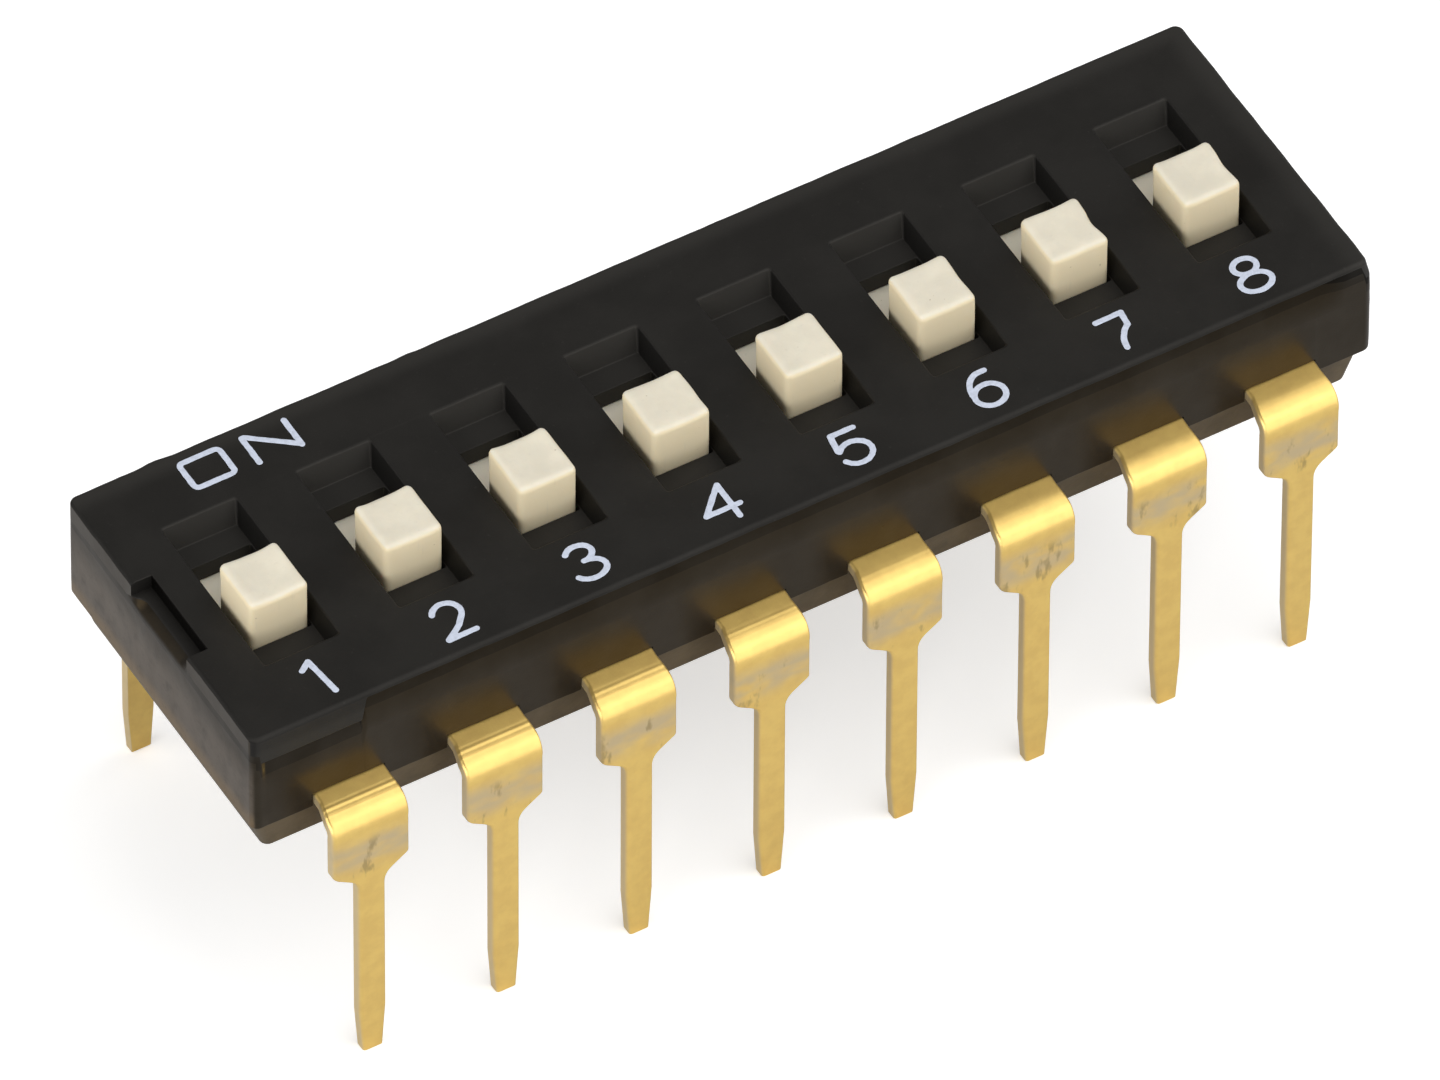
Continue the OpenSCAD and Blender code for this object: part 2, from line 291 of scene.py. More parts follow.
def fill_with_holes(bm, outer, holes):
    """Triangles that fill the flat area between an outline and its holes."""
    loops = [outer, *holes]
    verts = [vert for loop in loops for vert in loop]
    for triangle in tessellate_polygon([[vert.co for vert in loop] for loop in loops]):
        corner_verts = [verts[i] for i in triangle]
        area = (corner_verts[1].co - corner_verts[0].co).cross(corner_verts[2].co - corner_verts[0].co).length
        if area > 0:
            bm.faces.new(corner_verts)


def rectangle_points(middle, half, radius, z, steps=4):
    """Points round a rectangle with round corners, counter-clockwise."""
    points = []
    for quarter, (side_x, side_y) in enumerate(((1, 1), (-1, 1), (-1, -1), (1, -1))):
        centre = Vector((middle[0] + side_x * (half[0] - radius), middle[1] + side_y * (half[1] - radius)))
        for step in range(steps + 1):
            angle = math.radians(90) * (quarter + step / steps)
            points.append((centre.x + radius * math.cos(angle), centre.y + radius * math.sin(angle), z))
    return points


def smooth(value):
    """Eased step from 0 to 1."""
    value = min(max(value, 0), 1)
    return value * value * (3 - 2 * value)


def spread(low, high, step):
    """Evenly spaced values from low to high, about a step apart."""
    count = max(1, round(abs(high - low) / step))
    return [low + (high - low) * i / count for i in range(count + 1)]


def mesh_of(bm, name):
    """The bmesh as a mesh, welded and with its faces turned outwards."""
    bmesh.ops.remove_doubles(bm, verts=bm.verts, dist=WELD)
    bmesh.ops.dissolve_degenerate(bm, edges=bm.edges, dist=WELD)
    bmesh.ops.recalc_face_normals(bm, faces=bm.faces)
    mesh = bpy.data.meshes.new(name)
    bm.to_mesh(mesh)
    bm.free()
    return mesh


def applied(mesh, name, settle):
    """The mesh after the modifiers that settle(object) gives it."""
    worker = bpy.data.objects.new(name, mesh)
    bpy.context.scene.collection.objects.link(worker)
    helpers = settle(worker)
    bpy.context.view_layer.update()
    graph = bpy.context.evaluated_depsgraph_get()
    result = bpy.data.meshes.new_from_object(
        worker.evaluated_get(graph), preserve_all_data_layers=True, depsgraph=graph
    )
    for thing in [worker, *(helpers or [])]:
        bpy.data.objects.remove(thing)
    return result


def combined(mesh, others, operation):
    """The mesh joined with the others, or with them cut out."""

    def settle(worker):
        helpers = []
        for other in others:
            helper = bpy.data.objects.new("helper", other)
            bpy.context.scene.collection.objects.link(helper)
            helpers.append(helper)
            modifier = worker.modifiers.new("combine", "BOOLEAN")
            modifier.object = helper
            modifier.operation = operation
            modifier.solver = "EXACT"
        return helpers

    return applied(mesh, "combining", settle)


def settle_normals(worker):
    """Gives flat faces flat shading and keeps the roundings smooth."""
    modifier = worker.modifiers.new("normals", "WEIGHTED_NORMAL")
    modifier.mode = "FACE_AREA"
    modifier.weight = 60
    modifier.keep_sharp = True


def place(name, mesh, body, materials, replaced=()):
    """Makes a piece from a mesh in millimetres and lets it ride on its body."""
    mesh.shade_smooth()
    mesh.set_sharp_from_angle(angle=CREASE_ANGLE)
    final = applied(mesh, name, settle_normals)
    final.name = name
    final.transform(Matrix.Scale(1 / MM, 4))
    for material in materials:
        final.materials.append(material)
    piece = bpy.data.objects.new(name, final)
    bpy.context.scene.collection.objects.link(piece)
    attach(piece, body)
    if replaced:
        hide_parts(*replaced)
    return piece


def box_mesh(low, high):
    """A plain box, as a lug or a cutting tool."""
    bm = bmesh.new()
    size = [b - a for a, b in zip(low, high)]
    middle = [(a + b) / 2 for a, b in zip(low, high)]
    bmesh.ops.create_cube(bm, size=1, matrix=Matrix.Translation(middle) @ Matrix.Diagonal((*size, 1)))
    return mesh_of(bm, "box_mesh")


# ---------------------------------------------------------------- materials


class Sheet:
    """A new material whose nodes are added and linked in a few words."""

    def __init__(self, name):
        self.material = bpy.data.materials.new(name)
        self.material.use_nodes = True
        self.tree = self.material.node_tree
        self.shader = self.tree.nodes["Principled BSDF"]
        self.place = self.tree.nodes.new("ShaderNodeTexCoord").outputs["Object"]

    def node(self, kind, inputs, **settings):
        made = self.tree.nodes.new(kind)
        for name, value in settings.items():
            setattr(made, name, value)
        for key, value in inputs.items():
            self.feed(made.inputs[key], value)
        return made

    def feed(self, socket, value):
        if isinstance(value, bpy.types.NodeSocket):
            self.tree.links.new(value, socket)
        elif hasattr(value, "__len__") and len(value) == 3 and socket.type == "RGBA":
            socket.default_value = (*value, 1)
        else:
            socket.default_value = value

    def finish(self, **inputs):
        """Sets the shader's sockets; a double underscore stands for a space."""
        for name, value in inputs.items():
            self.feed(self.shader.inputs[name.replace("__", " ")], value)
        return self.material

    def noise(self, size_mm, detail=3, rough=0.55, stretch=(1, 1, 1)):
        """Noise whose spots are about size_mm across, and narrower along an axis whose stretch is above 1."""
        scale = tuple(MM / size_mm * factor for factor in stretch)
        spot = self.node("ShaderNodeMapping", {"Vector": self.place, "Scale": scale}).outputs[0]
        return self.node(
            "ShaderNodeTexNoise", {"Vector": spot, "Scale": 1.0, "Detail": detail, "Roughness": rough}
        ).outputs["Fac"]

    def mottled(self, base, size_mm, detail, shades, edges=(0.3, 0.7)):
        """A colour that clouds over between two shades of the base."""
        cloud = self.band(self.noise(size_mm, detail, 0.6), *edges)
        return self.mix(cloud, *(shade_of(base, shade) for shade in shades))

    def band(self, value, low, high):
        """0 below low and 1 above high, eased between; low may be the higher one."""
        made = self.node(
            "ShaderNodeMapRange",
            {"Value": value, "From Min": low, "From Max": high},
            interpolation_type="SMOOTHSTEP",
        )
        return made.outputs[0]

    def span(self, value, low, high):
        """A value from 0 to 1 spread from low to high."""
        return self.node("ShaderNodeMapRange", {"Value": value, "To Min": low, "To Max": high}).outputs[0]

    def maths(self, operation, first, second=0.0):
        return self.node("ShaderNodeMath", {0: first, 1: second}, operation=operation).outputs[0]

    def times(self, first, *others):
        """The product of two or more values."""
        for other in others:
            first = self.maths("MULTIPLY", first, other)
        return first

    def mix(self, factor, first, second):
        made = self.node("ShaderNodeMix", {}, data_type="RGBA")
        self.feed(made.inputs["Factor"], factor)
        colour_inputs = [socket for socket in made.inputs if socket.type == "RGBA"]
        self.feed(colour_inputs[0], first)
        self.feed(colour_inputs[1], second)
        return next(socket for socket in made.outputs if socket.type == "RGBA")

    def part(self, name):
        """One coordinate of the place, in metres."""
        return self.node("ShaderNodeSeparateXYZ", {"Vector": self.place}).outputs[name]

    def facing(self, name):
        """One coordinate of the surface's own direction."""
        normal = self.tree.nodes.new("ShaderNodeTexCoord").outputs["Normal"]
        return self.node("ShaderNodeSeparateXYZ", {"Vector": normal}).outputs[name]

    def attribute(self, name):
        return self.node("ShaderNodeAttribute", {}, attribute_name=name).outputs["Fac"]

    def bump(self, height, depth_mm, strength=1.0, normal=None):
        inputs = {"Height": height, "Distance": depth_mm / MM, "Strength": strength}
        if normal is not None:
            inputs["Normal"] = normal
        return self.node("ShaderNodeBump", inputs).outputs[0]


def shade_of(base, factor):
    """A colour made lighter or darker."""
    return tuple(min(1.0, channel * factor) for channel in base)


def cover_top_finish(look):
    """Fine-grained dull black plastic, paler along the rear and last edges, with painted light low in the
    wells and on the wells' back walls, and painted shade on faces turned towards the first switch's end.
    """
    sheet = Sheet("cover_top_plastic")
    tone = sheet.mottled(look.cover, 1.6, 4, (0.78, 1.2), (0.35, 0.65))
    speck = sheet.band(sheet.noise(0.11, 2, 0.6), 0.66, 0.8)
    tone = sheet.mix(sheet.times(speck, 0.5), tone, shade_of(look.cover, 2.6))
    rear_edge = sheet.band(sheet.part("Y"), 0.0026, 0.003)
    last_edge = sheet.band(sheet.part("X"), 0.0101, 0.0106)
    edge = sheet.maths("MAXIMUM", rear_edge, last_edge)
    tone = sheet.mix(sheet.times(edge, 0.7), tone, shade_of(look.cover, 2.8))
    # Painted light: everything low in the wells, their floors and the slots, is painted paler.
    sunk = sheet.band(sheet.part("Z"), 0.0031, 0.0029)
    tone = sheet.mix(sheet.times(sunk, 0.7), tone, shade_of(look.cover, 2.0))
    # Painted light: the wells' back walls, which face the front, are painted paler.
    faces_front = sheet.band(sheet.facing("Y"), -0.4, -0.7)
    well_back_light = sheet.times(faces_front, sheet.band(sheet.part("Y"), 0.001, 0.0012))
    tone = sheet.mix(well_back_light, tone, shade_of(look.cover, 2.2))
    # Painted shade: faces turned towards the first switch's end, such as the wells' right-hand walls, are
    # painted near black.
    first_facing_shade = sheet.band(sheet.facing("X"), -0.35, -0.7)
    tone = sheet.mix(first_facing_shade, tone, shade_of(look.cover, 0.2))
    soft = sheet.bump(sheet.noise(0.4, 2), 0.004, 0.6)
    return sheet.finish(
        Base__Color=tone,
        Roughness=sheet.span(sheet.noise(0.5, 3), 0.5, 0.62),
        Specular__IOR__Level=0.29,
        Specular__Tint=(1.0, 0.95, 0.88, 1.0),
        Normal=sheet.bump(sheet.noise(0.045, 2, 0.5), 0.004, 0.5, soft),
    )


def cover_wall_finish(look, name, gloss):
    """Black plastic with flow lines; the first switch's end wall is grey in patches, partly rubbed plastic
    and partly painted light, with painted shade towards its top; faces turned sideways inside the ends get
    painted shade, and a warm specular tint gives a painted warm reflection.
    """
    sheet = Sheet(name)
    tone = sheet.mottled(look.cover, 0.9, 4, (0.8, 1.5))
    height = sheet.part("Z")
    # Painted shade: faces turned sideways inside the end walls, such as the index notch's inner wall and the
    # lead notches' sides, are painted darker.
    sideways = sheet.band(sheet.maths("ABSOLUTE", sheet.facing("X")), 0.6, 0.9)
    inside = sheet.band(sheet.maths("ABSOLUTE", sheet.part("X")), 0.0105, 0.0103)
    tone = sheet.mix(sheet.times(sideways, inside), tone, shade_of(look.cover, 0.3))
    # The end wall's grey patches are partly rubbed plastic and partly painted light; less grey towards the
    # top is painted shade.
    end = sheet.times(sideways, sheet.band(sheet.part("X"), -0.0103, -0.0105))
    rub = sheet.band(sheet.noise(0.3, 4, 0.6, (1, 1, 0.8)), 0.1, 0.55)
    down = sheet.span(sheet.band(height, 0.0028, 0.002), 0.08, 0.8)
    tone = sheet.mix(sheet.times(rub, end, down), tone, look.rubbed)
    rim = sheet.band(height, 0.0016, 0.0012)
    tone = sheet.mix(sheet.times(rim, end, 0.7), tone, look.rim)
    streak = sheet.band(sheet.noise(0.16, 3, 0.6, (0.3, 1, 1.6)), 0.58, 0.75)
    tone = sheet.mix(sheet.times(streak, end, 0.55), tone, shade_of(look.cover, 2))
    grime = sheet.band(sheet.noise(0.11, 4, 0.7), 0.56, 0.72)
    tone = sheet.mix(sheet.times(grime, end, 0.5), tone, look.cover)
    wave = sheet.bump(sheet.noise(0.55, 2), 0.006, 0.5)
    return sheet.finish(
        Base__Color=tone,
        Roughness=sheet.span(sheet.noise(0.35, 3), 0.25, 0.35),
        Specular__IOR__Level=gloss,
        # Painted reflection: the warm specular tint stands in for the warm light from the gold leads and the
        # floor that the walls reflect.
        Specular__Tint=(1.0, 0.68, 0.3, 1.0),
        Normal=sheet.bump(sheet.noise(0.05, 2), 0.0025, 0.4, wave),
    )


def base_finish(look):
    """Matte black plastic, a little paler than the cover, partly its own colour and partly painted bounce
    light from the floor below; a warm specular tint paints a warm reflection.
    """
    sheet = Sheet("base_plastic")
    return sheet.finish(
        Base__Color=sheet.mottled(look.base, 0.7, 4, (0.8, 1.35)),
        Roughness=sheet.span(sheet.noise(0.3, 3), 0.34, 0.5),
        Specular__IOR__Level=0.5,
        # Painted reflection: the warm specular tint stands in for warm light reflected from below.
        Specular__Tint=(1.0, 0.8, 0.55, 1.0),
        Normal=sheet.bump(sheet.noise(0.06, 3), 0.005, 0.5),
    )


def slider_finish(look):
    """Cream plastic, a little translucent, with painted shade on its sides, warmer and darker towards the
    bottom, painted light on its low parts, faint drag lines and specks.
    """
    sheet = Sheet("slider_plastic")
    tone = sheet.mottled(look.slider, 0.5, 3, (0.96, 1.03), (0.35, 0.7))
    height = sheet.part("Z")
    # Painted light: the low parts, the carriage among them, are painted paler against the shade they sit in.
    carriage = sheet.band(height, 0.003, 0.0028)
    tone = sheet.mix(carriage, tone, shade_of(look.slider, 1.16))
    # Painted shade: faces not turned up get the side cream, darker again towards the bottom.
    up = sheet.band(height, 0.0029, 0.0038)
    side = sheet.mix(up, shade_of(look.slider_side, 0.93), shade_of(look.slider_side, 1.05))
    tone = sheet.mix(sheet.band(sheet.facing("Z"), 0.85, 0.35), tone, side)
    drag = sheet.band(sheet.noise(0.07, 2, 0.5, (1, 1, 0.12)), 0.62, 0.8)
    tone = sheet.mix(sheet.times(drag, 0.14), tone, shade_of(look.slider, 0.62))
    speck = sheet.band(sheet.noise(0.075, 1, 0.5), 0.78, 0.84)
    tone = sheet.mix(sheet.times(speck, 0.5), tone, look.slider_speck)
    return sheet.finish(
        Base__Color=tone,
        Roughness=0.58,
        Specular__IOR__Level=0.3,
        Subsurface__Weight=0.2,
        Subsurface__Radius=(1.0, 0.75, 0.5),
        Subsurface__Scale=0.00025,
        Normal=sheet.bump(sheet.noise(0.09, 3), 0.004, 0.5),
    )


def gold_finish(look):
    """Satin gold plating with rolled grain, a rubbed band, press marks and dull sheared edges."""
    sheet = Sheet("lead_gold")
    tone = sheet.mottled(look.gold, 0.35, 3, (0.95, 1.05))
    height = sheet.part("Z")
    rub = sheet.band(sheet.noise(0.5, 2, 0.5, (0.7, 1, 1.2)), 0.2, 0.65)
    grey = sheet.times(rub, sheet.band(height, -0.0001, 0.0004), sheet.band(height, 0.00105, 0.0006), 0.85)
    tone = sheet.mix(grey, tone, look.rubbed_gold)
    mark = sheet.band(sheet.noise(0.34, 3, 0.6, (1.3, 1, 0.5)), 0.56, 0.7)
    mark = sheet.times(mark, sheet.band(height, -0.0002, 0.0), sheet.band(height, 0.0009, 0.0006), 0.6)
    tone = sheet.mix(mark, tone, look.press_mark)
    cut = sheet.attribute("cut")
    tone = sheet.mix(sheet.times(cut, 0.8), tone, look.cut_edge)
    rough = sheet.span(sheet.noise(0.2, 3), 0.32, 0.44)
    soft = sheet.bump(sheet.noise(0.3, 2), 0.006, 0.5)
    return sheet.finish(
        Base__Color=tone,
        Metallic=0.85,
        Roughness=sheet.maths("ADD", rough, sheet.times(cut, 0.15)),
        Normal=sheet.bump(sheet.noise(0.03, 2, 0.5, (1, 0.15, 0.15)), 0.0015, 0.5, soft),
    )


def contact_finish(look):
    """Rolled brass-coloured spring strip."""
    sheet = Sheet("contact_gold")
    return sheet.finish(
        Base__Color=sheet.mottled(look.gold, 0.2, 3, (0.88, 1.05)),
        Metallic=1.0,
        Roughness=sheet.span(sheet.noise(0.1, 3), 0.22, 0.32),
        Normal=sheet.bump(sheet.noise(0.02, 2, 0.5, (1, 0.1, 0.1)), 0.001, 0.5),
    )


def ink_finish(look):
    """Printed ink, a little uneven in shade."""
    sheet = Sheet("legend_ink")
    return sheet.finish(
        Base__Color=sheet.mottled(look.ink, 0.09, 3, (1, 0.82), (0.35, 0.75)),
        Roughness=0.6,
        Specular__IOR__Level=0.3,
        Normal=sheet.bump(sheet.noise(0.05, 2), 0.002, 0.5),
    )


def floor_finish(look):
    """Pale matte card, whiter to the camera and greyer in the switch's own reflections."""
    sheet = Sheet("floor_card")
    tone = sheet.mix(sheet.noise(30, 2, 0.5), shade_of(look.floor, 0.995), look.floor)
    ray = sheet.node("ShaderNodeLightPath", {}).outputs
    tone = sheet.mix(ray["Is Glossy Ray"], tone, shade_of(look.floor, look.mirrored_floor))
    return sheet.finish(
        Base__Color=tone,
        Roughness=0.9,
        Specular__IOR__Level=0.0,
        Emission__Color=(1.0, 1.0, 1.0, 1.0),
        Emission__Strength=sheet.times(ray["Is Camera Ray"], look.white_floor),
    )


# ---------------------------------------------------------------- cover

# Distance between stations along a wall, and the length over which the lip's height changes
STATION_PITCH = 0.14
LIP_STEP = 0.12
# Height of the lip's row where a wall is flush, and the relief below the first lip
FLUSH_LIP = 0.4
FIRST_RELIEF = 0.35
# The rows, counted down a wall from the top face, at which the lip, the hollow and the cove's finish end; the
# hollow and the cove carry duller finishes as painted shade under the lip
LIP_ROW, HOLLOW_ROW, COVE_ROW = 9, 13, 15
# Heights of the cove's rows, as shares of its height below the lip
COVE_SHARES = (0, 0.06, 0.13, 0.21, 0.31, 0.43, 0.57, 0.77, 1)


class CoverOutline:
    """The stations round the cover's outline; each holds the points of one upright line down the wall."""

    def __init__(self, size, terminal):
        self.size = size
        self.low, self.high = corners("cover")
        self.half_l = self.high.x
        self.half_w = self.high.y
        self.height = self.high.z - self.low.z
        self.notch_right = terminal.lead_width / 2 + size.lead_gap
        self.notch_left = self.notch_right - terminal.left_trim - terminal.left_neck
        self.stations = []

    def lip(self, x):
        """Height of the lip at x along a long wall."""
        size = self.size
        start = -self.half_l + size.corner_round + size.first_lip_length
        step = smooth((x - start) / LIP_STEP)
        return size.first_lip + (size.lip - size.first_lip) * step

    def relief(self, x):
        """How far the wall below the lip is set back, from 0 where it is flush to 1."""
        size = self.size
        left = smooth((x + self.half_l - size.corner_round) / LIP_STEP)
        right = smooth((self.half_l - size.flush_end - x) / 0.5 + 0.5)
        start = -self.half_l + size.corner_round + size.first_lip_length
        below_lip = FIRST_RELIEF + (1 - FIRST_RELIEF) * smooth((x - start) / LIP_STEP)
        return left * right * below_lip

    def rows(self, lip, relief, notched):
        """(inset, height) down one upright line, from the top face to the rim."""
        size = self.size
        top = self.height
        lip_z = top - lip
        rows = [(inset, top - drop) for inset, drop in quarter_round(size.edge_round, 6)]
        rows.append((0, min(lip_z + 0.014, rows[-1][1] - 0.002)))
        rows += [(0.008 * relief, lip_z + 0.004), (0.022 * relief, lip_z)]
        for share in COVE_SHARES:
            rows.append((size.groove * relief * (1 - share) ** 2, lip_z - 0.002 - size.cove * share))
        rows += [(0, size.ceiling), (0, 0.025), (0.007, 0.007), (0.025, 0)]
        if notched:
            rows = [(0 if z < size.ceiling else inset, max(z, size.ceiling)) for inset, z in rows]
        return rows

    def wander(self, point):
        """Small unevenness of the moulded wall."""
        spot = Vector(point)
        slow = noise.noise(spot * 1.3)
        quick = noise.noise(spot * 4.5 + Vector((7, 3, 1)))
        return self.size.unevenness * (slow + 0.6 * quick)

    def lump(self, x, y, z):
        """Two lumps of flash left on the rear edge."""
        near = math.exp(-(((x + 8.95) / 0.24) ** 2)) + 0.5 * math.exp(-(((x + 4.2) / 0.12) ** 2))
        return 0.04 * near * smooth((z - self.height + 0.4) / 0.3) if y > 0 else 0

    def lean(self, x, z):
        """How far an end wall leans in at this height; the last switch's end leans out."""
        if x < 0:
            return 0.01 * smooth((-x - self.half_l + 0.5) / 0.4)
        share = smooth((x - self.half_l + 0.5) / 0.4)
        return -(self.size.end_out + self.size.end_draft * smooth((self.height - z) / 0.5)) * share

    def add(self, x, y, normal, lip=FLUSH_LIP, relief=0.0, notched=False):
        """One upright line of an ordinary wall."""
        line = []
        for inset, z in self.rows(lip, relief, notched):
            px, py = x - normal[0] * inset, y - normal[1] * inset
            out = self.wander((px, py, z)) + self.lump(px, normal[1], z)
            lean = self.lean(px, z)
            px += normal[0] * out - (lean if px > 0 else -lean)
            line.append((px, py + normal[1] * out, z))
        inner_x = min(max(x, -self.half_l + self.size.end_wall), self.half_l - self.size.end_wall)
        inner_y = min(max(y, -self.half_w + self.size.wall), self.half_w - self.size.wall)
        rim = self.size.ceiling if notched else 0
        line.append((inner_x, inner_y, rim))
        line.append((inner_x, inner_y, self.size.ceiling))
        self.stations.append(line)

    def add_index_notch(self):
        """The upright lines through the notch in the first switch's end, from +Y to -Y."""
        size = self.size
        half = size.index_length / 2
        edge = 0.02
        outer_x, inner_x = -self.half_l, -self.half_l + size.index_in
        start_x = outer_x + size.edge_round + 0.03
        floor_z = self.height - size.index_height
        path = [(outer_x, half, (0, 1), size.edge_round), (start_x, half, (0, 1), 0)]
        path += [(x, half, (0, 1), 0) for x in spread(start_x, inner_x, 0.09)[1:-1]]
        path += [(inner_x, half, (1, 1), 0)]
        path += [(inner_x, y, (1, 0), 0) for y in spread(half, -half, 0.12)[1:-1]]
        path += [(inner_x, -half, (1, -1), 0)]
        path += [(x, -half, (0, -1), 0) for x in spread(inner_x, start_x, 0.09)[1:-1]]
        path += [(start_x, -half, (0, -1), 0), (outer_x, -half, (0, -1), size.edge_round)]
        for number, (x, y, into, edge_round) in enumerate(path):
            line = []
            for (inset, drop), (side, end_drop) in zip(quarter_round(edge, 6), quarter_round(edge_round, 6)):
                z = self.height - (end_drop if edge_round else drop)
                line.append((x + into[0] * inset + side, y + into[1] * inset, z))
            wall_y = half - 2 * half * number / (len(path) - 1)
            line.append((x, y, floor_z))
            ease = smooth(min(number, len(path) - 1 - number) / 3)
            rows = [(0, floor_z), (0, floor_z - 0.1 * size.soft_edge)]
            for inset, z in rows + self.rows(FLUSH_LIP, 0, False)[LIP_ROW + 1 :]:
                soft = size.soft_edge * ease * max(0, 1 - (floor_z - z) / size.soft_edge) ** 2.5
                wander = self.wander((outer_x, wall_y, z)) * smooth((floor_z - z) / 0.3)
                line.append((outer_x + (self.lean(outer_x, z) + inset - wander) + soft, wall_y, z))
            inner = -self.half_l + size.end_wall
            line += [(inner, wall_y, 0), (inner, wall_y, size.ceiling)]
            self.stations.append(line)

    def long_wall(self, side):
        """One long wall, walked so that the outline runs counter-clockwise."""
        size = self.size
        reach = self.half_l - size.corner_round
        marks = {}
        for x in spread(-reach, reach, STATION_PITCH):
            marks[x] = [None]
        lip_step = -self.half_l + size.corner_round + size.first_lip_length
        for x in spread(lip_step, lip_step + LIP_STEP, 0.02) + spread(-reach, -reach + LIP_STEP, 0.02):
            marks[x] = [None]
        low, high = (self.notch_left, self.notch_right) if side < 0 else (self.notch_right, self.notch_left)
        notches = [(switch_x(number) - low, switch_x(number) + high) for number in range(1, SWITCHES + 1)]
        for start, end in notches:
            for x in [x for x in marks if abs(x - start) < 0.03 or abs(x - end) < 0.03]:
                del marks[x]
            marks[start] = [False, True]
            marks[end] = [True, False]
        for x in sorted(marks, reverse=side > 0):
            inside = any(start < x < end for start, end in notches)
            states = marks[x] if side < 0 else marks[x][::-1]
            for state in states:
                notched = inside if state is None else state
                self.add(x, side * self.half_w, (0, side), self.lip(x), self.relief(x), notched)

    def end_wall(self, side):
        """One end wall."""
        size = self.size
        reach = self.half_w - size.corner_round
        if side > 0:
            for y in spread(-reach, reach, STATION_PITCH):
                self.add(self.half_l, y, (1, 0))
            return
        half = size.index_length / 2
        for y in spread(reach, half, STATION_PITCH)[:-1]:
            self.add(-self.half_l, y, (-1, 0))
        self.add_index_notch()
        for y in spread(-half, -reach, STATION_PITCH)[1:]:
            self.add(-self.half_l, y, (-1, 0))

    def corner(self, side_x, side_y, start):
        """One upright corner, from its start angle over a quarter turn."""
        radius = self.size.corner_round
        for step in range(1, 8):
            angle = math.radians(start + 90 * step / 8)
            normal = (math.cos(angle), math.sin(angle))
            x = side_x * (self.half_l - radius) + radius * normal[0]
            y = side_y * (self.half_w - radius) + radius * normal[1]
            self.add(x, y, normal)

    def walk(self):
        """All stations, counter-clockwise from the front left."""
        self.long_wall(-1)
        self.corner(1, -1, -90)
        self.end_wall(1)
        self.corner(1, 1, 0)
        self.long_wall(1)
        self.corner(-1, 1, 90)
        self.end_wall(-1)
        self.corner(-1, -1, 180)
        return self.stations


def window_loops(size, height, x):
    """The loops of one window, from the top face down through the slot to the pocket's ceiling and mouth."""
    wide, deep = size.well_width / 2, size.well_length / 2
    floor_z = height - size.well_depth
    loops = []
    for out, drop in quarter_round(size.small_round, 4):
        slope = drop / size.well_depth
        half = (wide + out - size.well_side_slope * slope, deep + out - size.well_end_slope * slope)
        loops.append(((x, 0), half, 0.05 + out, height - drop))
    for rise, share in ((0.02, 0.95), (0.006, 1.0), (0.0, 1.06)):
        half = (wide - size.well_side_slope * share, deep - size.well_end_slope * share)
        loops.append(((x, 0), half, 0.035, floor_z + rise))
    slot = (size.slot_width / 2, size.slot_length / 2)
    slot_edge, slot_corner = 0.016, 0.03
    for out, drop in quarter_round(slot_edge, 3):
        loops.append(((x, 0), (slot[0] + out, slot[1] + out), slot_corner + out, floor_z - drop))
    roof_z = height - size.roof
    loops.append(((x, 0), slot, slot_corner, roof_z))
    low, high = corners("slider_1")
    side_room, end_room, pocket_corner = 0.04, 0.01, 0.06
    pocket_half = (
        ((high.x - low.x) + 2 * side_room) / 2,
        corners("cover")[1].y - size.wall - end_room,
    )
    loops.append(((x, 0), pocket_half, pocket_corner, roof_z))
    loops.append(((x, 0), pocket_half, pocket_corner, size.ceiling))
    return loops


def cover_mesh(size, terminal):
    """The moulded cover as one closed mesh."""
    outline = CoverOutline(size, terminal)
    stations = outline.walk()
    bm = bmesh.new()
    columns = [ring(bm, line) for line in stations]
    rings = [list(row) for row in zip(*columns)]
    bounds = (0, LIP_ROW, HOLLOW_ROW, COVE_ROW, len(rings))
    for first, last, finish in zip(bounds, bounds[1:], (TOP, HOLLOW, COVE, WALL)):
        bridge_all(bm, rings[first : last + 1], finish=finish)
    mouths, ceilings = [], []
    for number in range(1, SWITCHES + 1):
        loops = [
            ring(bm, rectangle_points(middle, half, radius, z))
            for middle, half, radius, z in window_loops(size, outline.height, switch_x(number))
        ]
        bridge_all(bm, loops)
        mouths.append(loops[0])
        ceilings.append(loops[-1])
    fill_with_holes(bm, rings[0], mouths)
    bmesh.ops.remove_doubles(bm, verts=list(rings[-1]), dist=WELD)
    inner = []
    for vert in rings[-1]:
        if vert.is_valid and vert not in inner:
            inner.append(vert)
    fill_with_holes(bm, inner, ceilings)
    bmesh.ops.translate(bm, verts=bm.verts, vec=(0, 0, outline.low.z))
    mesh = mesh_of(bm, "cover_mesh")
    share_out_finishes(mesh, size, outline.half_l)
    return mesh


def share_out_finishes(mesh, size, half_l):
    """Corrects the finishes round the index notch, on the end walls and below the first lip; the notch's
    inner wall gets the dull hollow finish as painted shade, and below the first lip the less dull cove finish
    softens that painted shade.
    """
    notch_x = size.index_in - half_l
    first_end = size.corner_round + size.first_lip_length - half_l
    for face in mesh.polygons:
        finish, x = face.material_index, face.center.x
        faces_end = abs(face.normal.x)
        if face.normal.x < -0.7 and abs(x - notch_x) < 0.06:
            face.material_index = HOLLOW
        elif finish == TOP and faces_end > 0.95 and abs(x) > half_l - 0.05:
            face.material_index = WALL
        elif finish == HOLLOW and x < first_end:
            face.material_index = COVE
        elif finish in (HOLLOW, COVE) and (faces_end > 0.5 or face.normal.y > 0.5 and x < notch_x):
            face.material_index = WALL


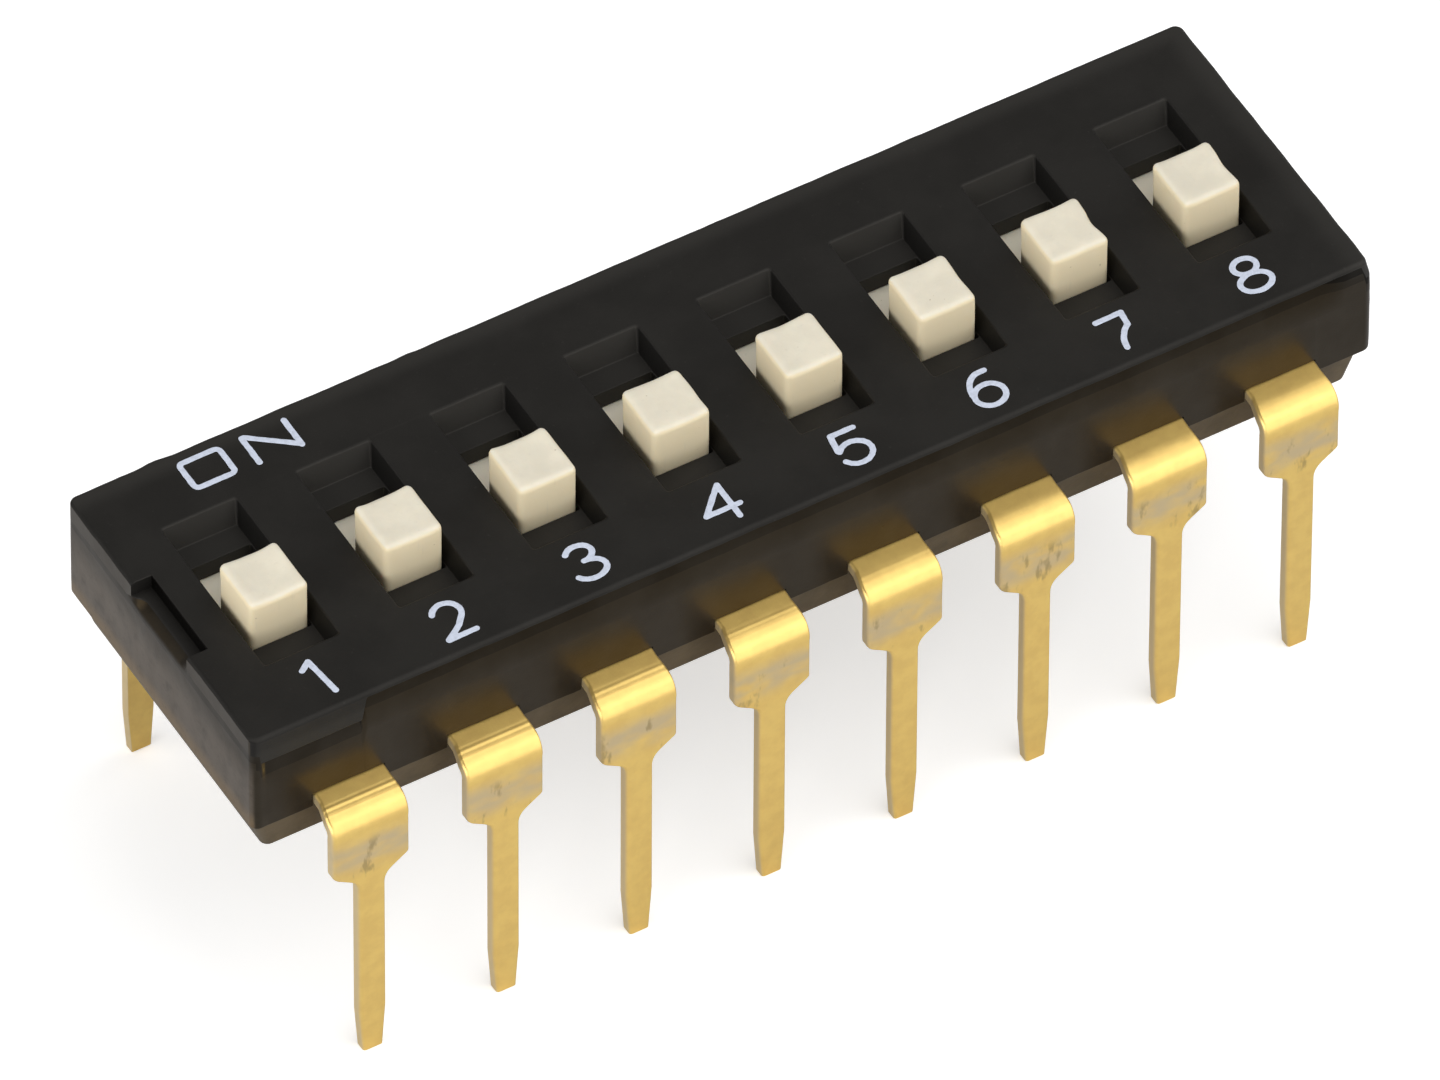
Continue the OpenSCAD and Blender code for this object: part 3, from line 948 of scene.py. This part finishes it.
class DIP_OT_cover(bpy.types.Operator):
    """Build the moulded cover with its wells, slots, lip, index notch and lead notches"""

    bl_idname = "dip.cover"
    bl_label = "Cover"

    def execute(self, context):
        scene = context.scene
        mesh = cover_mesh(in_millimetres(scene.dip_cover), in_millimetres(scene.dip_terminal))
        look = scene.dip_finish
        finishes = [
            cover_top_finish(look),
            cover_wall_finish(look, "cover_wall_plastic", 0.35),
            # The hollow and cove copies differ only in gloss, as painted shade under the lip and in the index
            # notch.
            cover_wall_finish(look, "cover_hollow_shade_plastic", 0.04),
            cover_wall_finish(look, "cover_cove_half_shade_plastic", 0.2),
        ]
        place("housing_cover", mesh, "housing", finishes, ["cover"])
        return {"FINISHED"}


# ---------------------------------------------------------------- base


def base_mesh(size, cover, terminal):
    """The base: a block with sloped sides, its inner block with pad pockets, and two snap lugs."""
    low, high = corners("base")
    rim_z = corners("cover")[0].z
    cover_high = corners("cover")[1]
    top_half = (cover_high.x - size.set_in, cover_high.y - size.set_in)
    bottom_half = (top_half[0] - size.end_slope, top_half[1] - size.side_slope)
    block_half = (
        cover_high.x - cover.end_wall - size.block_gap,
        cover_high.y - cover.wall - size.block_gap,
    )
    shift = size.last_end / 2
    bm = bmesh.new()
    loops = []
    for inset, rise in quarter_round(size.edge_round, 5):
        share = rise / size.height
        half = [b + (t - b) * share - inset for b, t in zip(bottom_half, top_half)]
        half[0] += shift
        loops.append(rectangle_points((shift, 0), half, size.corner_round - inset / 2, low.z + rise, 6))
    rim_half = (top_half[0] + shift, top_half[1])
    loops.append(rectangle_points((shift, 0), rim_half, size.corner_round, rim_z, 6))
    loops.append(rectangle_points((0, 0), block_half, 0.04, rim_z, 6))
    loops.append(rectangle_points((0, 0), block_half, 0.04, rim_z + size.block_height, 6))
    rings = [ring(bm, points) for points in loops]
    bridge_all(bm, rings)
    bm.faces.new(rings[0][::-1])
    bm.faces.new(rings[-1])
    mesh = mesh_of(bm, "base_mesh")
    lug_z = rim_z + size.block_height - size.lug_height
    lug = box_mesh((low.x, -size.lug_width / 2, lug_z), (high.x, size.lug_width / 2, lug_z + size.lug_height))
    pockets = []
    for number in range(1, SWITCHES + 1):
        for row in ("front", "rear"):
            pad_low, pad_high = corners(f"{row}_terminal_{number}")
            x = switch_x(number)
            ends = sorted((pad_low.y, pad_high.y), key=abs)
            outer = math.copysign(block_half[1] + 0.05, ends[1])
            span = sorted((ends[0], outer))
            pockets.append(
                box_mesh(
                    (x - terminal.pad_width / 2, span[0], rim_z),
                    (x + terminal.pad_width / 2, span[1], rim_z + size.block_height + 0.1),
                )
            )
    mesh = combined(mesh, [lug], "UNION")
    return combined(mesh, pockets, "DIFFERENCE")


class DIP_OT_base(bpy.types.Operator):
    """Build the base that closes the cover from below"""

    bl_idname = "dip.base"
    bl_label = "Base"

    def execute(self, context):
        scene = context.scene
        mesh = base_mesh(
            in_millimetres(scene.dip_base),
            in_millimetres(scene.dip_cover),
            in_millimetres(scene.dip_terminal),
        )
        place("housing_base", mesh, "housing", [base_finish(scene.dip_finish)], ["base"])
        return {"FINISHED"}


# ---------------------------------------------------------------- terminals


def rounded_outline(points, radii, steps=6):
    """The polyline with each inner corner turned into an arc of its radius."""
    result = [Vector(points[0])]
    for before, here, after, radius in zip(points, points[1:], points[2:], radii):
        before, here, after = Vector(before), Vector(here), Vector(after)
        into, away = (here - before).normalized(), (after - here).normalized()
        turn = into.angle(away)
        reach = min(radius * math.tan(turn / 2), (here - before).length * 0.49, (after - here).length * 0.49)
        start, end = here - into * reach, here + away * reach
        for step in range(steps + 1):
            share = step / steps
            result.append(start * (1 - share) ** 2 + here * 2 * share * (1 - share) + end * share**2)
    result.append(Vector(points[-1]))
    return result


def width_at(outline, s):
    """Half-width of an outline of (half-width, distance) points at one distance."""
    for first, second in zip(outline, outline[1:]):
        if s <= second.y or second is outline[-1]:
            run = second.y - first.y
            share = 0 if run <= 0 else min(max((s - first.y) / run, 0), 1)
            return first.x + (second.x - first.x) * share
    return outline[-1].x


class LeadPath:
    """The middle line of a bent terminal, from its pad's end to its pin's tip."""

    def __init__(self, size, pad_end):
        rim_z = corners("cover")[0].z
        low, high = corners("rear_terminal_1")
        half = size.strip / 2
        crown, bend = size.crown_radius - half, size.bend_radius - half
        swell = math.radians(20)
        plate_y = high.y - half
        tilt = math.radians(7)
        crown_y = plate_y - crown * (math.sin(swell) - math.sin(tilt)) - bend * (1 - math.sin(swell))
        joggle = 2.0 * size.lift
        lean = math.atan2(size.lift, joggle)
        wall_y = corners("cover")[1].y
        start = wall_y - joggle - 0.03 - pad_end
        self.legs = [
            (start, 0.0),
            (0.02, -lean),
            (joggle - 0.02, 0.0),
            (0.04, lean + tilt),
            (crown_y - wall_y - 0.01, 0.0),
            (crown * (swell - tilt), swell - tilt),
            (bend * (math.pi / 2 - swell), math.pi / 2 - swell),
        ]
        self.block_s = wall_y - 0.53 - pad_end
        self.wall_s = wall_y - pad_end
        self.crown_s = sum(leg[0] for leg in self.legs[:5])
        self.bend_s = sum(leg[0] for leg in self.legs)
        self.start = Vector((pad_end, rim_z + size.pad_height - half))
        self.bend_z = self.at(self.bend_s)[0].y
        self.total = self.bend_s + self.bend_z - low.z
        self.legs.append((self.bend_z - low.z, 0.0))

    def at(self, s):
        """Point and outward direction in Y and Z."""
        spot, angle = self.start.copy(), 0.0
        for run, turn in self.legs:
            part = min(s, run)
            swing = turn * part / run
            chord = part if abs(swing) < 1e-9 else part * math.sin(swing / 2) / (swing / 2)
            spot += chord * Vector((math.cos(angle + swing / 2), -math.sin(angle + swing / 2)))
            angle += swing
            s -= part
            if s <= 0:
                break
        return spot, Vector((math.sin(angle), math.cos(angle)))

    def distance(self, z):
        """Distance along the line of a height on the upright part."""
        return self.bend_s + self.bend_z - z


def lead_section(half_left, half_right, size, grow=0.0):
    """(across, out, cut) points round the strip, its left side at +X; cut is 1 on the sheared sides."""
    thick = size.strip / 2
    burr = size.burr_edge
    points = []
    for side, half, rolled in ((1, half_left, 1.7 * size.rolled_edge), (-1, half_right, size.rolled_edge)):
        rolled = min(rolled, half * 0.4)
        corner = []
        for step in range(5):
            angle = math.radians(22.5 * step)
            corner.append(
                (
                    side * (half - rolled + rolled * math.sin(angle)),
                    thick - rolled + rolled * math.cos(angle),
                    smooth((step - 1.5) / 2.5),
                )
            )
        low_corner = [
            (side * half, -thick + burr, 1.0),
            (side * (half - burr * 0.3), -thick + burr * 0.3, 1.0),
            (side * (half - burr), -thick, 0.0),
        ]
        line = corner + low_corner
        points += line if side > 0 else line[::-1]
    return [(x, out + (grow if out > 0 else 0), cut) for x, out, cut in points]


def lead_outlines(size, path):
    """(half-width, distance) outlines of the left and the right side, seen from outside."""
    board = path.distance(0)
    outlines = []
    for half, neck, corner, shift in (
        (size.lead_width / 2 - size.left_trim, size.left_neck, size.round_corner, -size.pin_shift),
        (size.lead_width / 2, 0, size.sharp_corner, size.pin_shift),
    ):
        pin, tip = size.pin_width / 2 + shift, size.tip_width / 2 + shift
        points = [
            (size.pad_width / 2, 0),
            (size.pad_width / 2, path.block_s),
            (half - neck, path.block_s + 0.01),
            (half - neck, path.crown_s - 0.1),
            (half - neck / 2 + size.bulge, path.crown_s + 0.25),
            (half, path.bend_s + 0.05),
            (half, board - size.shoulder_top),
            (pin, board + size.shoulder_drop),
            (pin, path.total - size.tip_length),
            (tip, path.total),
        ]
        radii = (0.0, 0.0, 0.0, 0.8, 0.3, corner, size.root_fillet, 0.5)
        outlines.append(rounded_outline(points, radii))
    return outlines


def lead_mesh(size, pad_end, creases):
    """One stamped and bent terminal on the +Y side, its middle at X = 0."""
    path = LeadPath(size, pad_end)
    left, right = lead_outlines(size, path)
    stops = {round(point.y, 5) for point in left + right}
    stops |= {round(s, 5) for s in spread(path.crown_s - 0.1, path.bend_s + 0.06, 0.02)}
    stops |= {round(s, 5) for s in spread(path.wall_s - 0.3, path.wall_s + 0.1, 0.02)}
    stops |= {round(s, 5) for s in spread(path.bend_s, path.total, 0.2)}
    kept = [0.0]
    for s in sorted(stops):
        if s - kept[-1] > 0.004:
            kept.append(s)
    bm = bmesh.new()
    cut_layer = bm.verts.layers.float.new("cut")
    rings = []
    chamfer = 0.02
    rows = [(0.0, 1.0), (chamfer, 0.0)]
    rows += [(s, 0.0) for s in kept if chamfer < s < path.total - chamfer]
    rows += [(path.total - chamfer, 0.0), (path.total, 1.0)]
    for s, inset in rows:
        middle, out = path.at(s)
        grow = sum(depth * math.exp(-(((s - path.crown_s - at) / 0.02) ** 2)) for at, depth in creases)
        narrow = chamfer * inset
        points = lead_section(width_at(left, s) - narrow, width_at(right, s) - narrow, size, grow)
        row = []
        for across, depth, cut in points:
            depth *= 1 - inset * chamfer / (size.strip / 2)
            vert = bm.verts.new((across, middle.x + out.x * depth, middle.y + out.y * depth))
            vert[cut_layer] = max(cut, inset)
            row.append(vert)
        rings.append(row)
    bridge_all(bm, rings)
    bm.faces.new(rings[0][::-1])
    bm.faces.new(rings[-1])
    return mesh_of(bm, "lead_mesh")


def lead_creases(number, row):
    """Fine lines pressed across a bend; the first leads show them most."""
    shift = noise.noise(Vector((number * 1.7, row * 3.1, 0.5)))
    strength = 0.5 + 0.5 * math.cos(number * 0.45)
    return [
        (0.03 + 0.02 * shift, -0.0035 * strength),
        (0.075 + 0.02 * shift, 0.003 * strength),
        (0.125 + 0.03 * shift, -0.004 * strength),
        (0.2, 0.002 * strength),
    ]


class DIP_OT_terminals(bpy.types.Operator):
    """Build the two rows of stamped, bent and gold-plated terminals"""

    bl_idname = "dip.terminals"
    bl_label = "Terminals"

    def execute(self, context):
        scene = context.scene
        size = in_millimetres(scene.dip_terminal)
        finish = gold_finish(scene.dip_finish)
        for row, (name, turn) in enumerate((("front", math.pi), ("rear", 0.0))):
            for number in range(1, SWITCHES + 1):
                node = f"{name}_terminal_{number}"
                low, high = corners(node)
                pad_end = min(abs(low.y), abs(high.y))
                if name == "front":
                    pad_end = -high.y
                mesh = lead_mesh(size, pad_end, lead_creases(number, row))
                spot = Matrix.Translation((switch_x(number), 0, 0)) @ Matrix.Rotation(turn, 4, "Z")
                mesh.transform(spot)
                place(f"{name}_lead_{number}", mesh, "housing", [finish], [node])
        return {"FINISHED"}


# ---------------------------------------------------------------- sliders


def round_box(bm, low, high, radius, counts, shape=None):
    """A box with round edges and even quads; shape(point) may move each point."""

    def stops(a, b, count):
        ends = [radius * (1 - math.cos(math.radians(90 * i / 4))) for i in range(5)]
        middle = spread(a + radius, b - radius, (b - a - 2 * radius) / count)
        return [a + end for end in ends[:-1]] + middle + [b - end for end in ends[-2::-1]]

    axes = [stops(low[i], high[i], counts[i]) for i in range(3)]
    core_low = [value + radius for value in low]
    core_high = [value - radius for value in high]

    def settled(point):
        core = Vector(min(max(p, a), b) for p, a, b in zip(point, core_low, core_high))
        away = Vector(point) - core
        if away.length > 1e-9:
            away = away.normalized() * radius
        moved = core + away
        return shape(moved) if shape else moved

    for axis in range(3):
        first, second = [i for i in range(3) if i != axis]
        for end in (low[axis], high[axis]):
            grid = []
            for u in axes[first]:
                row = []
                for v in axes[second]:
                    point = [0.0, 0.0, 0.0]
                    point[axis], point[first], point[second] = end, u, v
                    row.append(bm.verts.new(settled(point)))
                grid.append(row)
            bridge_all(bm, grid, closed=False)


# For each knob: its dish as a share of the full depth, the dish's shift sideways and the bite in its side
KNOB_SHAPES = {
    1: (1.1, 0.05, 0.0),
    2: (1.2, 0.0, 0.0),
    3: (1.1, 0.0, 0.0),
    4: (0.55, 0.02, 0.0),
    5: (0.5, -0.02, 0.0),
    6: (0.45, 0.0, 0.035),
    7: (0.5, 0.04, 0.06),
    8: (1.1, -0.03, 0.045),
}


def knob_shaper(size, number, x, low_y, high_y, top_z):
    """How one knob's moulded faces depart from a plain block."""
    dish, skew, bite = KNOB_SHAPES.get(number, (0.8, 0.0, 0.0))
    half = size.knob_width / 2
    middle_y = (low_y + high_y) / 2

    def shape(point):
        across = (point.x - x) / half
        along = (point.y - middle_y) / (size.knob_length / 2)
        up = smooth((point.z - top_z + 0.3) / 0.28)
        hollow = max(0.0, 1 - (across - skew) ** 2 / 0.7) * (0.25 + 0.75 * smooth((along + 1) / 1.2))
        point.z += size.crown * up - size.dish * dish * hollow * smooth((point.z - top_z + 0.14) / 0.12)
        point.y += 1.5 * size.crown * up * smooth((along - 0.3) / 0.5)
        side = smooth((across - 0.55) / 0.4)
        point.x -= bite * side * up * math.exp(-(((along + 0.1) / 0.45) ** 2))
        seed = Vector((number * 3.7, number * 1.3, 0))
        drift = noise.noise_vector(point * 2.6 + seed)
        point += drift * size.waviness * up
        return point

    return shape


def slider_mesh(size, number):
    """One slider: a dished knob on a carriage, with the stake that holds the contact below."""
    low, high = corners(f"slider_{number}")
    x = (low.x + high.x) / 2
    middle_y = (low.y + high.y) / 2
    carriage_z = corners(f"contact_{number}")[1].z
    knob_low_y, knob_high_y = middle_y - size.knob_length / 2, middle_y + size.knob_length / 2
    half = size.knob_width / 2
    bm = bmesh.new()
    round_box(
        bm,
        (x - half, knob_low_y, carriage_z + 0.06),
        (x + half, knob_high_y, high.z),
        size.knob_round,
        (14, 14, 12),
        knob_shaper(size, number, x, knob_low_y, knob_high_y, high.z),
    )
    knob = mesh_of(bm, "knob_mesh")
    bm = bmesh.new()
    round_box(
        bm,
        (low.x, low.y, carriage_z),
        (high.x, high.y, carriage_z + size.carriage_height),
        size.carriage_round,
        (6, 8, 2),
    )
    carriage = mesh_of(bm, "carriage_mesh")
    bm = bmesh.new()
    radius = size.stake_radius
    profile = [(radius * 0.55, low.z), (radius * 0.9, low.z + 0.012), (radius, low.z + 0.035)]
    profile += [(radius, carriage_z + 0.1)]
    rings = []
    angles = spread(0, 2 * math.pi, 0.2)[:-1]
    for r, z in profile:
        points = [(x + r * math.cos(angle), middle_y + r * math.sin(angle), z) for angle in angles]
        rings.append(ring(bm, points))
    bridge_all(bm, rings)
    bm.faces.new(rings[0][::-1])
    bm.faces.new(rings[-1])
    stake = mesh_of(bm, "stake_mesh")
    return combined(carriage, [knob, stake], "UNION")


class DIP_OT_sliders(bpy.types.Operator):
    """Build the cream sliders, each riding on its own body"""

    bl_idname = "dip.sliders"
    bl_label = "Sliders"

    def execute(self, context):
        scene = context.scene
        size = in_millimetres(scene.dip_slider)
        finish = slider_finish(scene.dip_finish)
        for number in range(1, SWITCHES + 1):
            body = f"slider_{number}"
            place(f"knob_{number}", slider_mesh(size, number), body, [finish], [body])
        return {"FINISHED"}


class DIP_OT_contacts(bpy.types.Operator):
    """Give the contact springs inside the housing their rolled-strip finish"""

    bl_idname = "dip.contacts"
    bl_label = "Contact springs"

    def execute(self, context):
        finish = contact_finish(context.scene.dip_finish)
        for number in range(1, SWITCHES + 1):
            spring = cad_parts[f"contact_{number}"]
            spring.data.materials.clear()
            spring.data.materials.append(finish)
        return {"FINISHED"}


# ---------------------------------------------------------------- legend


def arc(x, y, half_x, half_y, start, end, steps=14):
    """Points along part of an ellipse, between two angles in degrees."""
    angles = [math.radians(start + (end - start) * step / steps) for step in range(steps + 1)]
    return [(x + half_x * math.cos(a), y + half_y * math.sin(a)) for a in angles]


GLYPHS = {
    "O": [
        arc(0.29, 0.215, 0.088, 0.088, 0, 90, 5)
        + arc(-0.29, 0.215, 0.088, 0.088, 90, 180, 5)
        + arc(-0.29, -0.215, 0.088, 0.088, 180, 270, 5)
        + arc(0.29, -0.215, 0.088, 0.088, 270, 360, 5)
        + [(0.378, 0.215)]
    ],
    "N": [[(-0.402, -0.305), (-0.402, 0.3), (-0.36, 0.3), (0.395, -0.285), (0.402, -0.305), (0.402, 0.305)]],
    "1": [[(-0.24, 0.245), (-0.055, 0.38), (0.035, -0.383)]],
    "2": [arc(-0.105, 0.15, 0.25, 0.233, 160, -35) + [(-0.05, -0.16), (-0.36, -0.375), (0.165, -0.365)]],
    "3": [
        arc(-0.115, 0.205, 0.235, 0.178, 155, -90),
        arc(-0.105, -0.175, 0.29, 0.205, 90, -158),
    ],
    "4": [[(0.07, -0.383), (0.07, 0.383), (-0.43, -0.142), (0.21, -0.142)]],
    "5": [[(0.11, 0.37), (-0.32, 0.37), (-0.375, 0.02)] + arc(-0.11, -0.135, 0.285, 0.248, 150, -155)],
    "6": [
        [(0.085, 0.375)] + arc(-0.02, -0.08, 0.345, 0.455, 100, 172, 10),
        arc(-0.095, -0.14, 0.272, 0.243, 0, 360, 24),
    ],
    "7": [[(-0.335, 0.345), (0.155, 0.355)] + arc(0.55, -0.42, 0.7, 0.62, 128, 176, 8)],
    "8": [
        arc(-0.09, 0.208, 0.212, 0.172, 0, 360, 24),
        arc(-0.09, -0.178, 0.288, 0.205, 0, 360, 24),
    ],
}


def stroke_distance(point, strokes):
    """Distance from a point to the nearest stroke's middle line."""
    best = 9.0
    px, py = point
    for stroke in strokes:
        for (ax, ay), (bx, by) in zip(stroke, stroke[1:]):
            dx, dy = bx - ax, by - ay
            run = dx * dx + dy * dy
            share = 0 if run == 0 else min(max(((px - ax) * dx + (py - ay) * dy) / run, 0), 1)
            best = min(best, math.hypot(px - ax - dx * share, py - ay - dy * share))
    return best


def ink_outlines(strokes, size, seed):
    """Closed outlines of inked strokes, followed through a fine grid of distances."""
    step = 0.0155
    reach = 0.52
    count = int(2 * reach / step)
    spots = [-reach + step * i for i in range(count + 1)]

    def depth(x, y):
        wander = noise.noise(Vector((x * 9, y * 9, seed * 5.3))) * size.ragged
        return stroke_distance((x, y), strokes) - size.stroke / 2 + wander

    values = [[depth(x, y) for y in spots] for x in spots]
    follow = {}

    def crossing(a, b):
        va, vb = values[a[0]][a[1]], values[b[0]][b[1]]
        share = va / (va - vb)
        start, end = (spots[a[0]], spots[a[1]]), (spots[b[0]], spots[b[1]])
        return tuple(s + (e - s) * share for s, e in zip(start, end))

    points = {}
    for i in range(count):
        for j in range(count):
            cell = [(i, j), (i + 1, j), (i + 1, j + 1), (i, j + 1)]
            inside = [values[a][b] < 0 for a, b in cell]
            if all(inside) or not any(inside):
                continue
            leaves, enters = [], []
            for k in range(4):
                a, b = cell[k], cell[(k + 1) % 4]
                if inside[k] != inside[(k + 1) % 4]:
                    key = tuple(sorted((a, b)))
                    points[key] = crossing(*key)
                    (leaves if inside[k] else enters).append(key)
            for leave, enter in zip(leaves, enters):
                follow[leave] = enter
    outlines = []
    while follow:
        key = next(iter(follow))
        line = []
        while key in follow:
            line.append(points[key])
            key = follow.pop(key)
        outlines.append(line)
    return outlines, depth


def add_glyph(bm, name, size, middle, top_z, seed):
    """Adds one printed character as thin raised ink."""
    outlines, depth = ink_outlines(GLYPHS[name], size, seed)
    edge = ((0, -0.01), (0, 0.4 * size.ink), (0.004, 0.8 * size.ink), (0.012, size.ink))
    top_rings = []
    for line in outlines:
        rows = [[], [], [], []]
        for x, y in line:
            probe = 0.004
            slope_x = depth(x + probe, y) - depth(x - probe, y)
            slope_y = depth(x, y + probe) - depth(x, y - probe)
            slope = Vector((slope_x, slope_y))
            slope = slope.normalized() if slope.length > 0 else Vector((0, 0))
            for row, (inset, z) in zip(rows, edge):
                row.append((middle[0] + x - slope.x * inset, middle[1] + y - slope.y * inset, top_z + z))
        rings = [ring(bm, row) for row in rows]
        bridge_all(bm, rings)
        top_rings.append(rings)
    top_rings.sort(key=lambda rings: -max(vert.co.x for vert in rings[0]))
    fill_with_holes(bm, top_rings[0][-1], [rings[-1] for rings in top_rings[1:]])
    fill_with_holes(bm, top_rings[0][0], [rings[0] for rings in top_rings[1:]])


class DIP_OT_legend(bpy.types.Operator):
    """Print the word ON and the switch numbers on the cover"""

    bl_idname = "dip.legend"
    bl_label = "Legend"

    def execute(self, context):
        scene = context.scene
        size = in_millimetres(scene.dip_legend)
        top_z = corners("cover")[1].z
        first = switch_x(1)
        bm = bmesh.new()
        letter_o, letter_n = first + size.word_x, first + size.word_x + size.letter_pitch
        add_glyph(bm, "O", size, (letter_o, size.word_y + 0.012), top_z, 11)
        add_glyph(bm, "N", size, (letter_n, size.word_y), top_z, 12)
        for number in range(1, SWITCHES + 1):
            name = str(number)
            if name in GLYPHS:
                add_glyph(bm, name, size, (switch_x(number), -size.digit_y), top_z, number)
        mesh = mesh_of(bm, "legend_mesh")
        place("legend", mesh, "housing", [ink_finish(scene.dip_finish)])
        return {"FINISHED"}


# ---------------------------------------------------------------- stage


def area_lamp(name, spot, target, size, radiance):
    """A soft rectangular lamp of the given brightness, hidden from the camera."""
    data = bpy.data.lights.new(name, "AREA")
    data.shape = "RECTANGLE"
    data.size, data.size_y = size
    data.energy = radiance * math.pi * size[0] * size[1]
    lamp = bpy.data.objects.new(name, data)
    lamp.location = spot
    lamp.rotation_euler = (Vector(target) - Vector(spot)).to_track_quat("-Z", "Y").to_euler()
    lamp.visible_camera = False
    bpy.context.scene.collection.objects.link(lamp)


def add_floor(look):
    """A wide pale floor that the pin tips stand on."""
    bm = bmesh.new()
    bmesh.ops.create_grid(bm, x_segments=8, y_segments=8, size=1.5)
    mesh = bpy.data.meshes.new("floor")
    bm.to_mesh(mesh)
    bm.free()
    floor = bpy.data.objects.new("floor", mesh)
    floor.location.z = CAD_BOX[0].z
    mesh.materials.append(floor_finish(look))
    bpy.context.scene.collection.objects.link(floor)


def add_world(look):
    """Even light from all round."""
    world = bpy.data.worlds.new("studio")
    world.use_nodes = True
    shade = world.node_tree.nodes["Background"]
    shade.inputs["Color"].default_value = (1, 1, 1, 1)
    shade.inputs["Strength"].default_value = look.world
    bpy.context.scene.world = world


def add_camera():
    """A long lens from the front left, well above the switch."""
    azimuth, elevation, roll = math.radians(-30.387), math.radians(48.435), math.radians(0.307)
    target = Vector((0.001747, 0.002913, -0.0045))
    distance = 0.54247
    back = Vector(
        (
            math.sin(azimuth) * math.cos(elevation),
            -math.cos(azimuth) * math.cos(elevation),
            math.sin(elevation),
        )
    )
    right = Vector((math.cos(azimuth), math.sin(azimuth), 0))
    up = back.cross(right)
    turned_right = right * math.cos(roll) + up * math.sin(roll)
    turned_up = up * math.cos(roll) - right * math.sin(roll)
    data = bpy.data.cameras.new("camera")
    data.sensor_width = 36
    data.lens = 809.65
    data.clip_start, data.clip_end = 0.01, 10
    camera = bpy.data.objects.new("camera", data)
    axes = Matrix((turned_right, turned_up, back)).transposed().to_4x4()
    camera.matrix_world = Matrix.Translation(target + back * distance) @ axes
    bpy.context.scene.collection.objects.link(camera)
    bpy.context.scene.camera = camera


class DIP_OT_stage(bpy.types.Operator):
    """Set up the pale floor, the soft studio light and the camera"""

    bl_idname = "dip.stage"
    bl_label = "Stage"

    def execute(self, context):
        look = context.scene.dip_finish
        context.scene.view_settings.view_transform = "Standard"
        add_floor(look)
        add_world(look)
        add_camera()
        target = (0, 0, 0)
        area_lamp("front", (0.08, -0.28, 0.2), target, (0.74, 0.43), 1.24 * look.front)
        area_lamp("overhead", (0.12, -0.02, 0.36), target, (0.32, 0.36), 1.3 * look.overhead)
        area_lamp("left", (-0.34, -0.02, 0.15), target, (0.5, 0.28), 2.6 * look.side)
        area_lamp("right", (0.34, 0, 0.15), target, (0.4, 0.25), 0.8 * look.side)
        return {"FINISHED"}


# ---------------------------------------------------------------- add-on


OPERATORS = (
    DIP_OT_stage,
    DIP_OT_cover,
    DIP_OT_base,
    DIP_OT_terminals,
    DIP_OT_sliders,
    DIP_OT_contacts,
    DIP_OT_legend,
)


class DIP_PT_panel(bpy.types.Panel):
    """Lists the steps that dress the switch"""

    bl_idname = "DIP_PT_panel"
    bl_label = "DIP switch"
    bl_space_type = "VIEW_3D"
    bl_region_type = "UI"
    bl_category = "DIP switch"

    def draw(self, context):
        for operator in OPERATORS:
            self.layout.operator(operator.bl_idname)


CLASSES = (*GROUPS.values(), *OPERATORS, DIP_PT_panel)


def register():
    for cls in CLASSES:
        bpy.utils.register_class(cls)
    for name, group in GROUPS.items():
        setattr(bpy.types.Scene, name, bpy.props.PointerProperty(type=group))


def unregister():
    for name in GROUPS:
        delattr(bpy.types.Scene, name)
    for cls in reversed(CLASSES):
        bpy.utils.unregister_class(cls)


def main():
    register()
    for operator in OPERATORS:
        category, name = operator.bl_idname.split(".")
        getattr(getattr(bpy.ops, category), name)()


if __name__ == "__main__":
    main()
